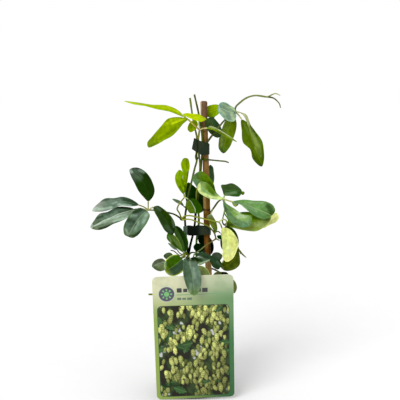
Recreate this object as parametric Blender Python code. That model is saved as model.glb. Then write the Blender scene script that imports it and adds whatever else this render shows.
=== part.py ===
"""A young climbing plant with palmate leaves, clipped to a bamboo cane in a small round pot.

The plant is drawn in front view on a square grid, column to the right and row downwards, and each
point of the drawing is pushed out to its own depth in millimetres, less than zero towards the front.
"""

import math

import bpy
import bmesh
import numpy as np
from mathutils import Matrix, Vector

MM = 0.001
GAP = 0.3 * MM  # clearance kept between touching pieces

# Front view: the drawing's grid and the eye that it is seen from
GRID = 1.1 * MM
GRID_CENTRE = (200, 200)  # column and row
VIEW_DISTANCE = 850 * MM
VIEW_ELEVATION = math.radians(10)
VIEW_TARGET = np.array([6, 0, 218.5]) * MM

# Pot and soil
POT_HEIGHT = 95 * MM
POT_FOOT_RADIUS = 31.5 * MM
POT_TOP_RADIUS = 40.2 * MM
POT_LIP = 2.2 * MM
POT_LIP_DEPTH = 8 * MM
POT_WALL = 1.2 * MM
POT_SIDES = 36
DRAIN_HOLES = 6
DRAIN_RADIUS = 3 * MM
SOIL_TOP = 86 * MM
SOIL_BUMP = 1.0 * MM
SOIL_SIDES = 24
SOIL_SEED = 7

# Card
CARD_WIDTH = 86 * MM
CARD_HEIGHT = 145 * MM
CARD_THICKNESS = 0.7 * MM
CARD_CORNER = 5 * MM
CARD_CENTRE = (-0.2 * MM, -41.6 * MM, 74.4 * MM)
CARD_TURN = math.radians(1.5)
CARD_SWING = math.radians(2.2)  # about the upright, its right side back
CARD_LEAN = math.radians(6.3)
TONGUE_WIDTH = 9 * MM
TONGUE_X = -2.4 * MM
TONGUE_PATH = ((-48.3, 140.5), (-48.9, 146), (-47.6, 149.4), (-44.6, 150.9), (-41.4, 149.6), (-39.2, 144),
               (-37.8, 125), (-37.2, 105), (-37, 87.8))  # depth and height, millimetres

LEAF_THICKNESS = 0.9 * MM
LEAF_ROWS = 6
SMALL_LEAF_ROWS = 5
SMALL_LEAF_POINTS = 8  # most outline points of a small leaflet
LEAF_COLUMNS = 4
CLIP_WALL = 0.8 * MM
STEM_SIDES = 6
STEM_RINGS = 11 * MM  # from ring to ring
STALK_SIDES = 5
STALK_RINGS = 8 * MM

# Cane: column, row, depth and radius in millimetres, from its top down to the floor of the pot
CANE_TOP_ROUNDING = 1.2 * MM
CANE_SIDES = 10
CANE = (
    (203.75, 101, 0, 3.9), (203.95, 117, 0, 3.75), (204.5, 126, 0, 3.45), (205.15, 140, 0, 3.25),
    (205.75, 156, 0, 3.25), (205.95, 168, 0, 3.5), (206.5, 198, 0, 3.75), (206.6, 207, 0, 3.85),
    (206.7, 209.5, 0, 4.05), (206.75, 212, 0, 3.8), (206.8, 225, 0, 3.35), (206.9, 236, 0, 3.4),
    (208.1, 262, 0, 3.45), (208.9, 276, 0, 3.45), (209.6, 296, 0, 3.5), (209.7, 298.5, 0, 3.75),
    (209.8, 301, 0, 3.5), (210.6, 340, 0, 3.4), (211.2, 379.4, 0, 3.4),
)

# Clips: top column and row, bottom column and row, depth in millimetres, round the band's outside
CLIPS = {
    "clip_upper": (
        (193.7, 137.7, 191.2, 148.9, -1.8), (198.3, 140.2, 196.8, 152.6, -7.4),
        (203.2, 141.9, 200.2, 154.7, -7.6), (208.6, 143.4, 208.4, 154.7, -6.6),
        (209.6, 143.6, 209.6, 154.6, -1.0), (209.2, 143.4, 209.4, 154.4, 3.8),
        (203.2, 142.0, 203.2, 154.0, 4.4), (198.0, 140.0, 197.0, 152.0, 1.4),
    ),
    "clip_lower": (
        (183.1, 226.5, 183.3, 232.8, -1.2), (183.3, 226.4, 183.5, 232.8, -5.6),
        (188.4, 225.3, 188.4, 235.6, -7.4), (195.4, 226.2, 195.0, 235.7, -7.0),
        (196.6, 225.1, 196.4, 235.5, -7.8), (203.2, 225.6, 203.0, 235.2, -7.8),
        (209.2, 226.8, 209.2, 235.0, -6.0), (211.0, 227.4, 211.0, 235.0, -0.5),
        (210.8, 227.4, 210.8, 235.0, 5.0), (207.4, 227.2, 207.4, 235.0, 7.6),
        (203.4, 227.0, 203.4, 235.0, 6.6), (197.0, 227.0, 197.0, 235.0, 3.0),
        (188.0, 227.0, 188.0, 234.0, 1.2),
    ),
}

# Leaflets: stalk end, one side, tip, other side, as columns and rows; then millimetres of depth at
# the stalk end and at the tip, of bow half way, of lean (the first side goes back) and of cup (the
# midrib goes back), and where the midrib lies between the sides (-1 to 1, the first side at 1).
LEAFLETS = {
    "crown_leaflet_1": ((183.8, 117), ((181, 112.6), (176, 108.8), (168, 105.6), (150.6, 104.5), (137, 102.3)),
                        (124.2, 101.1), ((178, 115), (170, 111.9), (157, 109.3), (144.5, 106), (133, 104.2)),
                        -16.4, -12, 0, 8, 1, 0),
    "crown_leaflet_2": ((187.4, 119.5), ((182.3, 117.5), (175, 117.1), (168.4, 118.4), (161, 126.2), (152.2, 136.4),
                                         (147.2, 143.4)),
                        (147.9, 147), ((182.8, 124.2), (178, 130.2), (171.6, 136.4), (164.4, 140.2), (156.4, 144.8)),
                        -14.5, -30, -3, 4, 1.5, 0),
    "crown_leaflet_3": ((183.4, 114.1), ((186.4, 113), (191.9, 113.7), (198.5, 114.2), (203.5, 116.8)),
                        (206.4, 118.9), ((187.4, 117.2), (194.4, 119.9), (201.2, 121.8)),
                        -17.2, -11, 0, 4, 0.5, 0),
    "crown_leaflet_4": ((196.2, 120.9), ((191, 121.5), (188, 126), (187.8, 130)),
                        (190.7, 132.3), ((197.9, 123.4), (197.3, 127), (194.6, 130.3)),
                        -6.2, -6.6, 0, 0.3, 0.2, 0),
    "crown_leaflet_5": ((207.4, 128.2), ((209.6, 126), (215, 127.2), (223, 131.8), (230, 136.3)),
                        (237.2, 142.1), ((212.5, 129.8), (221.5, 134.7), (229.5, 138.8)),
                        -10, -21, 0, 6, 1, 0),
    "tendril_leaflet_1": ((235.6, 111), ((234.4, 108), (230.5, 105.6), (226, 102.5), (221.2, 102.2)),
                          (217.7, 107.8), ((236.2, 117.6), (234.4, 121.2), (229.8, 121.4), (222, 116.8)),
                          -6.8, -11, -1, 2, 2, 0.2),
    "tendril_leaflet_2": ((222.5, 108.3), ((218.3, 104.8), (212, 104.7), (206.5, 107)),
                          (204.4, 111.5), ((219, 113.6), (213, 117.4), (207, 116.5)),
                          3.2, 6.6, 0, 0.5, 0.5, 0),
    "tendril_leaflet_3": ((212.3, 117.2), ((217.2, 121.4), (221.3, 128), (222, 133.6)),
                          (218.6, 137.6), ((206.8, 119), (206, 125.4), (210.5, 133.8)),
                          -4.2, -0.8, 0, 3.2, 0.6, 0),
    "tendril_leaflet_4": ((234, 116), ((236.5, 122), (236.2, 129), (233.2, 138.8), (229.3, 147.8)),
                          (223.3, 153.4), ((226, 120), (221.8, 129), (218.8, 140.6), (219, 149)),
                          -0.5, 4, 1.5, 1, 1, 0),
    "tendril_leaflet_5": ((239.9, 112.5), ((244.8, 113.5), (250.6, 124.4), (254.4, 133.6), (261.2, 147.6)),
                          (259.8, 156.8), ((242.8, 115), (247.8, 125.2), (250.4, 134), (254.8, 149)),
                          -3, -11, -2, 4, 1, 0),
    "tendril_leaflet_6": ((241.6, 119.5), ((249.8, 124.4), (255.6, 131.6), (262.4, 141.7), (263.8, 150), (264, 160)),
                          (262.2, 166.3), ((241.7, 131), (243, 142.5), (250.5, 150), (252.6, 158.8)),
                          1, 4, 1, 0.5, 1.5, 0),
    "right_leaflet_1": ((222, 198.5), ((216.2, 192.2), (214, 184.6), (208.2, 176), (200.5, 171.1), (194.2, 174.8)),
                        (192.1, 179), ((213.4, 198.8), (206.6, 196.6), (200.6, 192.4), (197, 187.6), (194.4, 183.6)),
                        -11, -17, -1, 1, 4, -0.1),
    "right_leaflet_2": ((224.4, 195.4), ((222.4, 190.5), (221.2, 184.9), (225.4, 184.5), (231.6, 183.2), (237, 185.6)),
                        (242, 191.8), ((229, 195.9), (234.5, 196.6), (239.2, 196.4)),
                        -7, -2, 0, 5, 1, 0),
    "right_leaflet_3": ((223.3, 201.4), ((228, 204.6), (234.5, 208.6), (243.5, 214.7), (251.2, 216)),
                        (249.6, 225.6), ((223.3, 206), (226, 213.6), (230.6, 221.9), (240, 227.2)),
                        -10, -17, -1, 4, 1.5, 0),
    "right_leaflet_4": ((233, 201.8), ((243, 199.6), (254, 200.6), (266, 201.5), (273.4, 205.6), (275.2, 211)),
                        (271.6, 215.6), ((239.1, 204), (246.8, 210), (256, 216.5), (265, 219)),
                        -10.5, -17, -2, 3, 2, -0.35),
    "right_leaflet_5": ((224.4, 225.2), ((229, 219.5), (239.1, 212.6), (250.6, 211.8), (262, 212.6)),
                        (271, 217), ((231.5, 227.4), (239, 229.4), (247.5, 230.9), (256.5, 231.2), (264.5, 226.6)),
                        -2.6, -3, -1, 4, 1, 0),
    "right_leaflet_6": ((258, 222.2), ((266, 217), (272, 214.2), (276.8, 212.8)),
                        (278.8, 217.8), ((263, 228), (270, 224.8), (277.2, 220.9)),
                        3, 2, 0, 1, 0.5, 0),
    "drooping_leaflet_1": ((221.8, 227.9), ((228, 228.4), (235, 234.8), (238.6, 242.6), (236.6, 251), (232, 259.4)),
                           (226.4, 261.9), ((221.3, 232), (222, 241), (222.6, 250), (223, 258)),
                           -13, -19, -2, 1, 2, -0.2),
    "drooping_leaflet_2": ((237.6, 249.6), ((239.8, 257), (239.6, 264.8), (231, 270.6), (224.5, 270.5)),
                           (221, 267.4), ((231, 252.5), (226, 257), (221.8, 262.6)),
                           -5, -9, 0, 0.5, 1, 0),
    "drooping_leaflet_3": ((226.2, 225.9), ((233.2, 228.7), (237.8, 236), (238.2, 246)),
                           (229, 252.5), ((221.8, 231.5), (220.2, 240), (222, 249)),
                           -5, -8, 0, 0.5, 1, 0),
    "drooping_leaflet_4": ((210.9, 214.1), ((214.2, 218.2), (217, 224.8), (217.2, 230)),
                           (215.6, 233), ((206.9, 216.4), (208.6, 221.5), (212.6, 228.6)),
                           -5, -7.8, 0, 0.3, 0.3, 0),
    "left_leaflet_1": ((148.2, 201.3), ((152.7, 197.2), (154.7, 190.8), (153.3, 184.4), (150, 177.2), (143.8, 170.4),
                                        (136, 167.4)),
                       (129.6, 169.4), ((143.8, 197.4), (138, 190.2), (134.4, 182.8), (131, 176.2)),
                       -12, -6, -2, 0, 2, 0),
    "left_leaflet_2": ((138.6, 205), ((131, 199), (122.1, 196.7), (114.5, 198), (105, 198.4), (98.6, 203)),
                       (92.2, 210.8), ((131, 206.4), (120.8, 205.8), (111.5, 209.3), (101, 211.8)),
                       -13, -19, -2, 5, 1.5, 0),
    "left_leaflet_3": ((134, 209.4), ((124.8, 206.6), (117, 207), (107.4, 211.8), (99.4, 213.8), (94.4, 220)),
                       (90.6, 227.8), ((128.8, 216.6), (121.5, 220.9), (113.2, 224), (105.5, 228.3), (96.4, 230)),
                       -16, -25, -2, 4.5, 1.5, 0),
    "left_leaflet_4": ((146.8, 210.8), ((149.7, 214.6), (147.6, 221.6), (142.5, 229.3), (137.2, 235.8), (131.8, 238)),
                       (128.4, 236.4), ((139.3, 207.8), (132.8, 211.3), (127, 218.8), (123.4, 228.2), (124.9, 235.2)),
                       -15, -28, -3, 0, 2, 0),
    "left_leaflet_5": ((153.3, 207.2), ((157.5, 205.6), (163.2, 208.6), (169, 213.8), (173.9, 220.5), (175.4, 229.6)),
                       (172.4, 234.8), ((154.3, 211.5), (157.8, 218), (161.4, 225), (166, 231.8)),
                       -13, -20, -1, 1, 1.5, 0),
    "inner_leaflet_1": ((185, 194.2), ((187.3, 182), (188.5, 174), (189.6, 164), (187.6, 158.4)),
                        (184.2, 158), ((183.6, 186), (182.5, 172), (181.1, 162.6)),
                        -7, -5, 0, 3, 0.6, 0),
    "inner_leaflet_2": ((183.9, 194.3), ((184.2, 187), (182.8, 178), (181.9, 171)),
                        (179.6, 169.8), ((178.4, 188.3), (175.7, 182.5), (175, 177), (176.6, 172.4)),
                        -10, -12, -1, 1.5, 1, 0),
    "inner_leaflet_3": ((202.2, 212), ((204.2, 203), (202.8, 194.6), (195.8, 187.6)),
                        (188, 182.4), ((195, 213), (187.6, 205), (185.3, 192)),
                        3.6, 2.6, 0, 0, 0.3, 0),
    "inner_leaflet_4": ((188, 199.2), ((194.6, 198.8), (199.8, 203.3), (202.4, 208.4), (200.4, 212.8), (196.6, 213.4)),
                        (193.6, 211.4), ((186.2, 204), (187.3, 209.6), (190.6, 213.4)),
                        -9, -9, 0, 1, 1, 0),
    "inner_leaflet_5": ((184, 206.7), ((182.3, 202.6), (178.7, 200.1)),
                        (172.2, 199), ((180.4, 204.6), (175.6, 202.2)),
                        -1.6, 3, 0, 3, 0.5, 0),
    "lower_leaflet_1": ((184.9, 252), ((187.9, 247.5), (188.4, 242.8), (186.8, 237), (183.4, 231.2), (179.6, 227.2)),
                        (175.9, 225.8), ((180, 246.2), (176.2, 238), (173.9, 231.6), (173.3, 227.6)),
                        -9.8, -7.5, 0, 0.5, 1.5, 0),
    "lower_leaflet_2": ((183.4, 252.3), ((181.4, 246), (177.9, 239), (173.2, 234.4)),
                        (168.2, 232.7), ((177.4, 248.9), (170.5, 243.2), (166.5, 237.4)),
                        -12.2, -17, -1, 0.5, 1, 0),
    "lower_leaflet_3": ((177.4, 250), ((175.5, 247.2), (172, 244.3)),
                        (168, 242.9), ((174, 249.3), (170.4, 246.3)),
                        -7.6, -4, 0, 3, 0.3, 0),
    "lower_leaflet_4": ((180.6, 258.4), ((178.7, 255.2), (173.4, 254.9), (167.7, 258), (164.2, 264)),
                        (164.7, 269.8), ((184.6, 262), (184.4, 269), (178.6, 274.5), (171.6, 276.1), (166.6, 273.4)),
                        -25, -35, -2, 1.5, 2, 0),
    "lower_leaflet_5": ((190.2, 259.8), ((194.6, 260.8), (198.4, 266), (200.8, 273), (201.4, 280), (200.6, 287),
                                         (198.4, 292.6)),
                        (194.4, 295.5), ((184.4, 258.4), (182.9, 267), (183.4, 275.5), (185.3, 283.2), (187.9, 289.6),
                                         (190.8, 294)),
                        -34, -60, -8, 0, 2, 0),
    "lower_leaflet_6": ((195.6, 254.6), ((201.8, 252), (210.2, 255.1), (217.9, 258.3)),
                        (221.8, 264.2), ((203, 258), (209.6, 261), (213, 267.2), (218.2, 269.5)),
                        -14, -19, 0, 1, 1, 0),
    "lower_leaflet_7": ((193.6, 257.4), ((199.5, 256.9), (205.5, 258.4)),
                        (210.4, 259.5), ((195.4, 262.6), (199.6, 265.1), (205.2, 262.9)),
                        -17.5, -21.5, 0, 1, 1, 0),
    "lower_leaflet_8": ((211.6, 257), ((212.4, 253.8), (217.4, 252.2)),
                        (222.4, 255.4), ((213.6, 261), (219.4, 260.9)),
                        -3.8, -8, 0, 1, 0.5, 0),
    "lower_leaflet_9": ((196.8, 266), ((203.5, 266.4), (208.2, 270.6), (210.6, 277)),
                        (209.5, 283), ((197.4, 271), (199.5, 278), (204.5, 283.5)),
                        -20, -32, 0, 1, 1, 0),
    "lower_leaflet_10": ((166.4, 262.7), ((162.5, 258.6), (157, 259.3), (153.2, 262.2)),
                         (151.9, 266), ((165, 269.6), (160.6, 271.3), (155, 269.4)),
                         -19, -23, 0, 1, 0.8, 0),
    "lower_leaflet_11": ((173.4, 257.4), ((171, 252.9), (166.4, 253)),
                         (163.6, 255.8), ((170.6, 259.6), (166.2, 259.2)),
                         -16.5, -20, 0, 1, 0.5, 0),
    "back_leaflet_1": ((213, 184), ((214.3, 179), (213.9, 172.4), (212.4, 166.2)),
                       (210.3, 164.8), ((209.5, 180), (208, 172), (208.6, 166.6)),
                       7, 8.6, 0, 0, 0.5, 0),
    "back_leaflet_2": ((203.4, 250.2), ((200.8, 244.4), (196.4, 243.3)),
                       (193.5, 246.4), ((200.4, 252.6), (195.8, 251.4)),
                       -4.4, -4.6, 0, 0.5, 0.5, 0),
    "back_leaflet_3": ((207.4, 235.6), ((212, 240.2), (213.8, 246.4), (212.3, 253)),
                       (208, 256), ((197.4, 236), (199.5, 244), (203.6, 252.6)),
                       8.8, 8.8, 0, 0, 0.5, 0),
    "back_leaflet_4": ((221.8, 273.6), ((226, 272), (229.2, 275), (228.6, 284)),
                       (221, 291), ((216.6, 271.8), (213, 275), (213.6, 284)),
                       -23, -31, 0, 0.5, 1, 0),
    "back_leaflet_5": ((227, 276.4), ((232.4, 278.6), (236.2, 283.6), (236.9, 288.8)),
                       (234.4, 293.2), ((225.6, 281.4), (227, 288), (230.4, 292.6)),
                       -14.5, -22, 0, 0.5, 1, 0),
    "back_leaflet_6": ((199.4, 280.8), ((190, 278.5), (178, 279.5)),
                       (169, 284.5), ((191, 287.5), (178, 289)),
                       16, 30, 0, 8, 1, 0),
    "back_leaflet_7": ((211.6, 281.4), ((219, 278.6), (228, 281)),
                       (231, 286.5), ((215, 288.5), (224.5, 290.5)),
                       17, 38, 0, 8, 1, 0),
}

# Stems: each tube's radii in millimetres at both ends, its route as column, row and depth, and the
# leaflet that it ends at, if any. The first tube of a stem carries the others.
STEMS = {
    "stem_left": (
        (0.8, 1.2, ((190, 98, -1), (192.2, 113.8, -2), (194.9, 128, -2), (197, 138.7, -2.2), (196.9, 147, -2.4),
                     (196.4, 155, -3), (196.8, 160, -3.4), (194.8, 168, -4), (191.5, 182, -4.5), (188.3, 194.6, -5),
                     (186.4, 207.4, -5), (185, 217.6, -4.6), (185.3, 226, -3.6), (185.9, 236, -3.6),
                     (187.2, 247, -2), (188, 258, -1), (189, 275, -2), (191.5, 300, -3), (192.5, 322.4, -4)), None),
        (1.6, 1.2, ((184.9, 218.4, -4.7), (182.6, 219.4, -5), (180.2, 219, -5.4)), None),
        (0.8, 0.6, ((181.5, 219, -5.2), (174.4, 214.4, -6.5), (168.6, 212.8, -8), (160, 211.2, -9.5),
                    (153.3, 210.2, -11), (148, 210, -12)), None),
        (0.55, 0.5, ((148.2, 210, -12), (148.2, 205, -12.3)), "left_leaflet_1"),
        (0.55, 0.5, ((148.2, 210, -12), (143.8, 206.9, -12.5)), "left_leaflet_2"),
        (0.55, 0.5, ((148.2, 210, -12), (141, 208.8, -12.8)), "left_leaflet_3"),
        (0.55, 0.5, ((148.4, 210, -12), (148, 210.2, -13.2)), "left_leaflet_4"),
        (0.55, 0.5, ((148.2, 210, -12), (150.8, 208.2, -12.4)), "left_leaflet_5"),
        (0.7, 0.6, ((181.6, 218.8, -5.3), (179.3, 213, -6.5), (177.1, 209, -7.5), (178.4, 205.5, -8),
                    (182.2, 200, -8.2), (184.6, 197.2, -8.2)), None),
        (0.55, 0.45, ((184.4, 197.5, -8.2), (184.9, 195.6, -7.5)), "inner_leaflet_1"),
        (0.55, 0.45, ((184.4, 197.5, -8.2), (184, 195.8, -9.4)), "inner_leaflet_2"),
        (0.55, 0.45, ((184.2, 197.4, -8.2), (186.6, 198, -8.9)), "inner_leaflet_4"),
        (0.55, 0.45, ((186.4, 207.3, -5), (185.3, 207.2, -3)), "inner_leaflet_5"),
        (0.65, 0.6, ((181.8, 218.6, -5.6), (184.5, 216.2, -7.6), (189.6, 215.6, -8), (195.9, 216.9, -8.6),
                     (203, 218.5, -8.8), (208.7, 219.8, -9), (215.1, 221.4, -10.5), (218.9, 222, -11.5)), None),
        (0.55, 0.5, ((218.7, 222, -11.4), (222.4, 219.6, -10.5), (226, 220.2, -7.5)), "drooping_leaflet_3"),
        (0.55, 0.5, ((218.7, 222, -11.4), (220.5, 224.2, -12)), "drooping_leaflet_1"),
        (0.65, 0.6, ((182, 219.8, -6), (187, 219.2, -7.6), (192.8, 220.1, -8.4), (198.5, 222.3, -9.2),
                     (203.9, 224.2, -9.9), (208.7, 226.5, -9.9), (211.9, 229.7, -9.6), (214.4, 233.2, -9.6),
                     (215.9, 238.8, -10)), None),
        (0.55, 0.45, ((215.8, 238.4, -10), (217.6, 239.6, -10.2), (219.6, 240.3, -10.5)), None),
        (0.6, 0.55, ((215.9, 238.8, -10), (211.9, 241.5, -10.2), (205.5, 245.6, -10.6), (200.5, 249.8, -11.6),
                     (195.8, 253, -13), (194.2, 254.6, -13.8)), None),
        (0.5, 0.45, ((194.8, 254, -13.5), (195.2, 254.3, -13.8)), "lower_leaflet_6"),
        (0.5, 0.45, ((194.4, 254.4, -13.7), (193.6, 256, -15.4)), "lower_leaflet_7"),
        (0.5, 0.45, ((214.4, 233, -9.6), (217.8, 231.3, -10.5), (220.6, 233.3, -10.5)), None),
        (0.9, 0.8, ((189.3, 280, -2.2), (175, 290, -12), (160, 294, -22), (148.6, 294.4, -28)), None),
    ),
    "stem_front": (
        (0.85, 1.25, ((194.4, 94.6, -3.5), (198.7, 113.8, -4.5), (201.1, 126.9, -5), (202.3, 139.6, -5),
                     (202.4, 147, -4.7), (202, 155, -4.7), (201.2, 165, -4.6), (200.6, 172, -4.4),
                     (198.5, 194.6, -4), (195.6, 213.8, -3.5), (194.6, 225.3, -3.5), (193.6, 231, -3.5),
                     (192.6, 236, -3.6), (190.8, 243, -5), (189.4, 249.5, -6), (188.4, 256, -6.5),
                     (189.2, 268, -6), (192, 290, -6.2), (195.5, 322.4, -7.4)), None),
        (0.9, 0.75, ((202.2, 150.5, -4.9), (204.6, 146.8, -5), (206.5, 143.4, -5), (213.4, 133.9, -5),
                     (219.1, 126.7, -4.2), (224.2, 120.6, -3.2), (230, 115.5, -2.6), (235, 110.8, -2),
                     (235.4, 107.8, -2.5), (240.5, 102.2, -4), (245.8, 98.3, -5), (251.1, 96.2, -6),
                     (256.3, 95.5, -7), (261.6, 96.1, -8), (266.8, 96.9, -8.7), (269.3, 96.9, -9)), None),
        (0.55, 0.4, ((268.2, 96.9, -8.9), (272.1, 94.6, -9.5), (275.6, 93.5, -10), (280.2, 95.5, -10.5)), None),
        (0.6, 0.4, ((268.6, 96.9, -8.9), (273.9, 98.3, -9.3), (277, 100.8, -9.3), (279.5, 103.9, -9),
                    (280.5, 107.8, -8.5)), None),
        (0.55, 0.5, ((234.9, 111.2, -2), (235.6, 111.2, -4)), "tendril_leaflet_1"),
        (0.6, 0.5, ((234.6, 111.4, -2), (230, 110, 1), (225, 108.7, 2.8)), "tendril_leaflet_2"),
        (0.6, 0.45, ((230.4, 110.2, 0.8), (226, 111, 6), (221, 112, 8.6), (215.5, 114.8, 9.6), (213.2, 118.6, 4.5),
                     (212.4, 118.2, 0)), "tendril_leaflet_3"),
        (0.55, 0.5, ((234.6, 111.4, -2), (234.4, 113.6, -1.2)), "tendril_leaflet_4"),
        (0.55, 0.5, ((234.8, 111.4, -2), (238.2, 112, -2.5)), "tendril_leaflet_5"),
        (0.55, 0.5, ((234.8, 111.4, -2), (238.4, 114.8, -1.3), (240.6, 117.8, 0.4)), "tendril_leaflet_6"),
        (0.8, 0.6, ((201.8, 159.2, -4.7), (205.5, 159.6, -5.3), (209.6, 159.9, -5), (219, 160.8, -5),
                    (227, 161.9, -5.6), (228.8, 162.7, -6)), None),
        (1.0, 0.7, ((188.6, 255, -6.5), (186.6, 254, -8.4), (185, 253.2, -9.8)), None),
        (0.9, 0.5, ((188.8, 254.4, -6.5), (191.5, 252.6, -7.6), (195.4, 252.6, -9.6)), None),
        (0.55, 0.45, ((185.6, 253.5, -9.4), (185, 252.9, -9.6)), "lower_leaflet_1"),
        (0.55, 0.45, ((185.4, 253.4, -9.4), (183.8, 253, -11.4)), "lower_leaflet_2"),
        (0.5, 0.45, ((185.8, 253.7, -9.2), (181, 254, -8.6), (178.6, 252, -8)), "lower_leaflet_3"),
        (0.5, 0.4, ((184.6, 254, -9.6), (179.4, 255.4, -10.6), (176.6, 253.2, -11), (174.1, 251.2, -11.5),
                    (170.6, 250.2, -12)), None),
        (0.65, 0.5, ((185.6, 253.6, -9.4), (184.6, 256.5, -17), (182, 258.2, -23)), "lower_leaflet_4"),
        (0.65, 0.5, ((186, 253.8, -9.2), (187.4, 255.4, -19), (189.6, 257.8, -29)), "lower_leaflet_5"),
        (0.55, 0.45, ((188.9, 265.4, -6), (193, 265.3, -14)), "lower_leaflet_9"),
        (0.55, 0.45, ((186, 254, -9), (181, 257.5, -13), (173.6, 260.8, -16)), "lower_leaflet_10"),
        (0.5, 0.45, ((177.6, 259.3, -14.6), (175.6, 258.2, -15.4)), "lower_leaflet_11"),
    ),
    "stem_pale": (
        (0.8, 1.15, ((199.6, 129.6, -7.2), (198.8, 135, -4.6), (198.3, 139.5, -2.6), (199.2, 147, -0.9),
                    (199.2, 155, -0.9), (199.8, 163, -0.9), (199.9, 170.4, -0.8), (198.5, 182, -0.5),
                    (196.6, 194.6, -0.5), (197.2, 205, -0.5), (198.6, 214, -0.5), (198.8, 222, -0.8),
                    (198, 231, -0.8), (196.6, 240, 0), (196.5, 256, 1), (197, 280, 1), (199.5, 322.4, 1)), None),
        (0.7, 0.65, ((199.6, 130, -7), (195, 126, -9.6), (189.5, 120.8, -12.4), (184.9, 117.1, -14.6)), None),
        (0.5, 0.45, ((185.2, 117.3, -14.5), (184.6, 117.2, -15.3)), "crown_leaflet_1"),
        (0.5, 0.45, ((189.4, 120.5, -12.4), (188.4, 120, -13.4)), "crown_leaflet_2"),
        (0.5, 0.45, ((185.2, 117.3, -14.5), (184.2, 115.4, -16)), "crown_leaflet_3"),
        (0.5, 0.45, ((191.6, 122.7, -11.3), (193.6, 120.2, -9.2)), "crown_leaflet_4"),
        (0.6, 0.5, ((199.4, 130, -7), (203.2, 128.4, -8.7)), "crown_leaflet_5"),
        (0.6, 0.45, ((199.6, 130, -7), (199.1, 125, -6.6), (199, 118.5, -6.8)), None),
    ),
    "stem_back": (
        (0.8, 1.1, ((206.2, 158, 5.3), (206.6, 172, 5.3), (206.8, 190, 5.5), (207, 207, 5.6), (207.2, 222, 5.3),
                    (207.6, 236, 5.2), (208, 250, 5.4), (208.6, 265, 5.8), (209.4, 285, 6.2), (209, 300, 7),
                    (208.8, 322.4, 8.8)), None),
        (0.55, 0.45, ((206.8, 190, 5.5), (210, 188.6, 6.5)), "back_leaflet_1"),
        (0.9, 0.7, ((207, 214.8, 5.5), (209.4, 214, 5.2), (210.9, 211.9, 3.2), (214.5, 206.8, 0),
                    (219.2, 200.8, -5), (223.4, 198.5, -8.2)), None),
        (0.6, 0.5, ((223, 198.7, -8), (222.4, 198.3, -9.6)), "right_leaflet_1"),
        (0.6, 0.5, ((223, 198.7, -8), (224, 197.2, -7.6)), "right_leaflet_2"),
        (0.6, 0.5, ((223, 198.7, -8), (223.3, 200, -9)), "right_leaflet_3"),
        (0.6, 0.5, ((223, 198.7, -8), (228, 200.6, -9)), "right_leaflet_4"),
        (0.7, 0.55, ((223, 198.7, -8), (224.9, 203, -5), (225, 208, -4), (224.2, 212.4, -4), (223, 217.5, -4),
                     (222.6, 222.6, -3.5)), "right_leaflet_5"),
        (0.6, 0.5, ((225, 208, -4), (230, 213, 0), (237, 218.5, 2.6), (248, 221.6, 3.6)), "right_leaflet_6"),
        (0.55, 0.45, ((213, 208.8, 1.2), (211.9, 211.6, -2.6)), "drooping_leaflet_4"),
        (0.6, 0.5, ((224.1, 213, -4), (228, 219, 0), (231, 226, -0.6), (235, 236, -0.6),
                    (236.6, 244, -2.4)), "drooping_leaflet_2"),
        (0.6, 0.45, ((236.4, 243, -2.2), (240.2, 252.2, -2.4), (246, 257.4, -4)), None),
        (0.6, 0.5, ((208.2, 256.5, 5.4), (212, 257.6, 3)), "lower_leaflet_8"),
        (0.6, 0.5, ((208, 251.4, 5.4), (205, 254, 3.8), (202.6, 253.6, -1)), "back_leaflet_2"),
        (0.55, 0.5, ((207.7, 237.3, 5.2), (207.5, 237.6, 7)), "back_leaflet_3"),
        (0.7, 0.55, ((208.7, 268, 5.8), (212.4, 268.8, 3.4), (215.6, 270, -6)), "back_leaflet_4"),
        (0.6, 0.5, ((215, 269.8, -4), (221, 273, -10)), "back_leaflet_5"),
        (0.7, 0.6, ((209.3, 283, 6.2), (206, 281.5, 14)), "back_leaflet_6"),
        (0.6, 0.5, ((207, 281.7, 12.4), (209.6, 281.4, 15)), "back_leaflet_7"),
    ),
}

# Colours, red, green, blue, and roughness
COLOURS = {
    "pot": ((0.06, 0.06, 0.065), 0.5),
    "soil": ((0.06, 0.035, 0.02), 0.95),
    "cane": ((0.42, 0.25, 0.11), 0.6),
    "clip": ((0.02, 0.04, 0.035), 0.4),
    "card": ((0.42, 0.55, 0.3), 0.35),
    "stem": ((0.13, 0.17, 0.04), 0.5),
    "crown": ((0.3, 0.5, 0.01), 0.4),
    "tendril": ((0.12, 0.25, 0.03), 0.4),
    "right": ((0.15, 0.3, 0.12), 0.4),
    "drooping": ((0.3, 0.4, 0.1), 0.4),
    "left": ((0.04, 0.1, 0.06), 0.35),
    "inner": ((0.1, 0.2, 0.02), 0.4),
    "lower": ((0.05, 0.12, 0.05), 0.35),
    "back": ((0.03, 0.08, 0.03), 0.4),
}


def clear_scene():
    for old in list(bpy.data.objects):
        bpy.data.objects.remove(old, do_unlink=True)


def finish(name, points, faces, colour, smooth_degrees=None):
    """One named object with its own material, from points and faces that close it."""
    mesh = bpy.data.meshes.new(name)
    mesh.from_pydata([tuple(point) for point in points], [], faces)
    shell = bmesh.new()
    shell.from_mesh(mesh)
    bmesh.ops.recalc_face_normals(shell, faces=shell.faces)
    shell.to_mesh(mesh)
    shell.free()
    obj = bpy.data.objects.new(name, mesh)
    bpy.context.scene.collection.objects.link(obj)
    if smooth_degrees:
        mesh.shade_smooth()
        mesh.set_sharp_from_angle(angle=math.radians(smooth_degrees))
    rgb, roughness = COLOURS[colour]
    material = bpy.data.materials.new(name)
    material.use_nodes = True
    shader = material.node_tree.nodes["Principled BSDF"]
    shader.inputs["Base Color"].default_value = (*rgb, 1)
    shader.inputs["Roughness"].default_value = roughness
    material.diffuse_color = (*rgb, 1)
    mesh.materials.append(material)
    return obj


def hide(obj):
    """Makes the object a cutter or a joining shape, which isn't a piece of its own."""
    obj.hide_render = True
    obj.display_type = "WIRE"
    return obj


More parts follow.
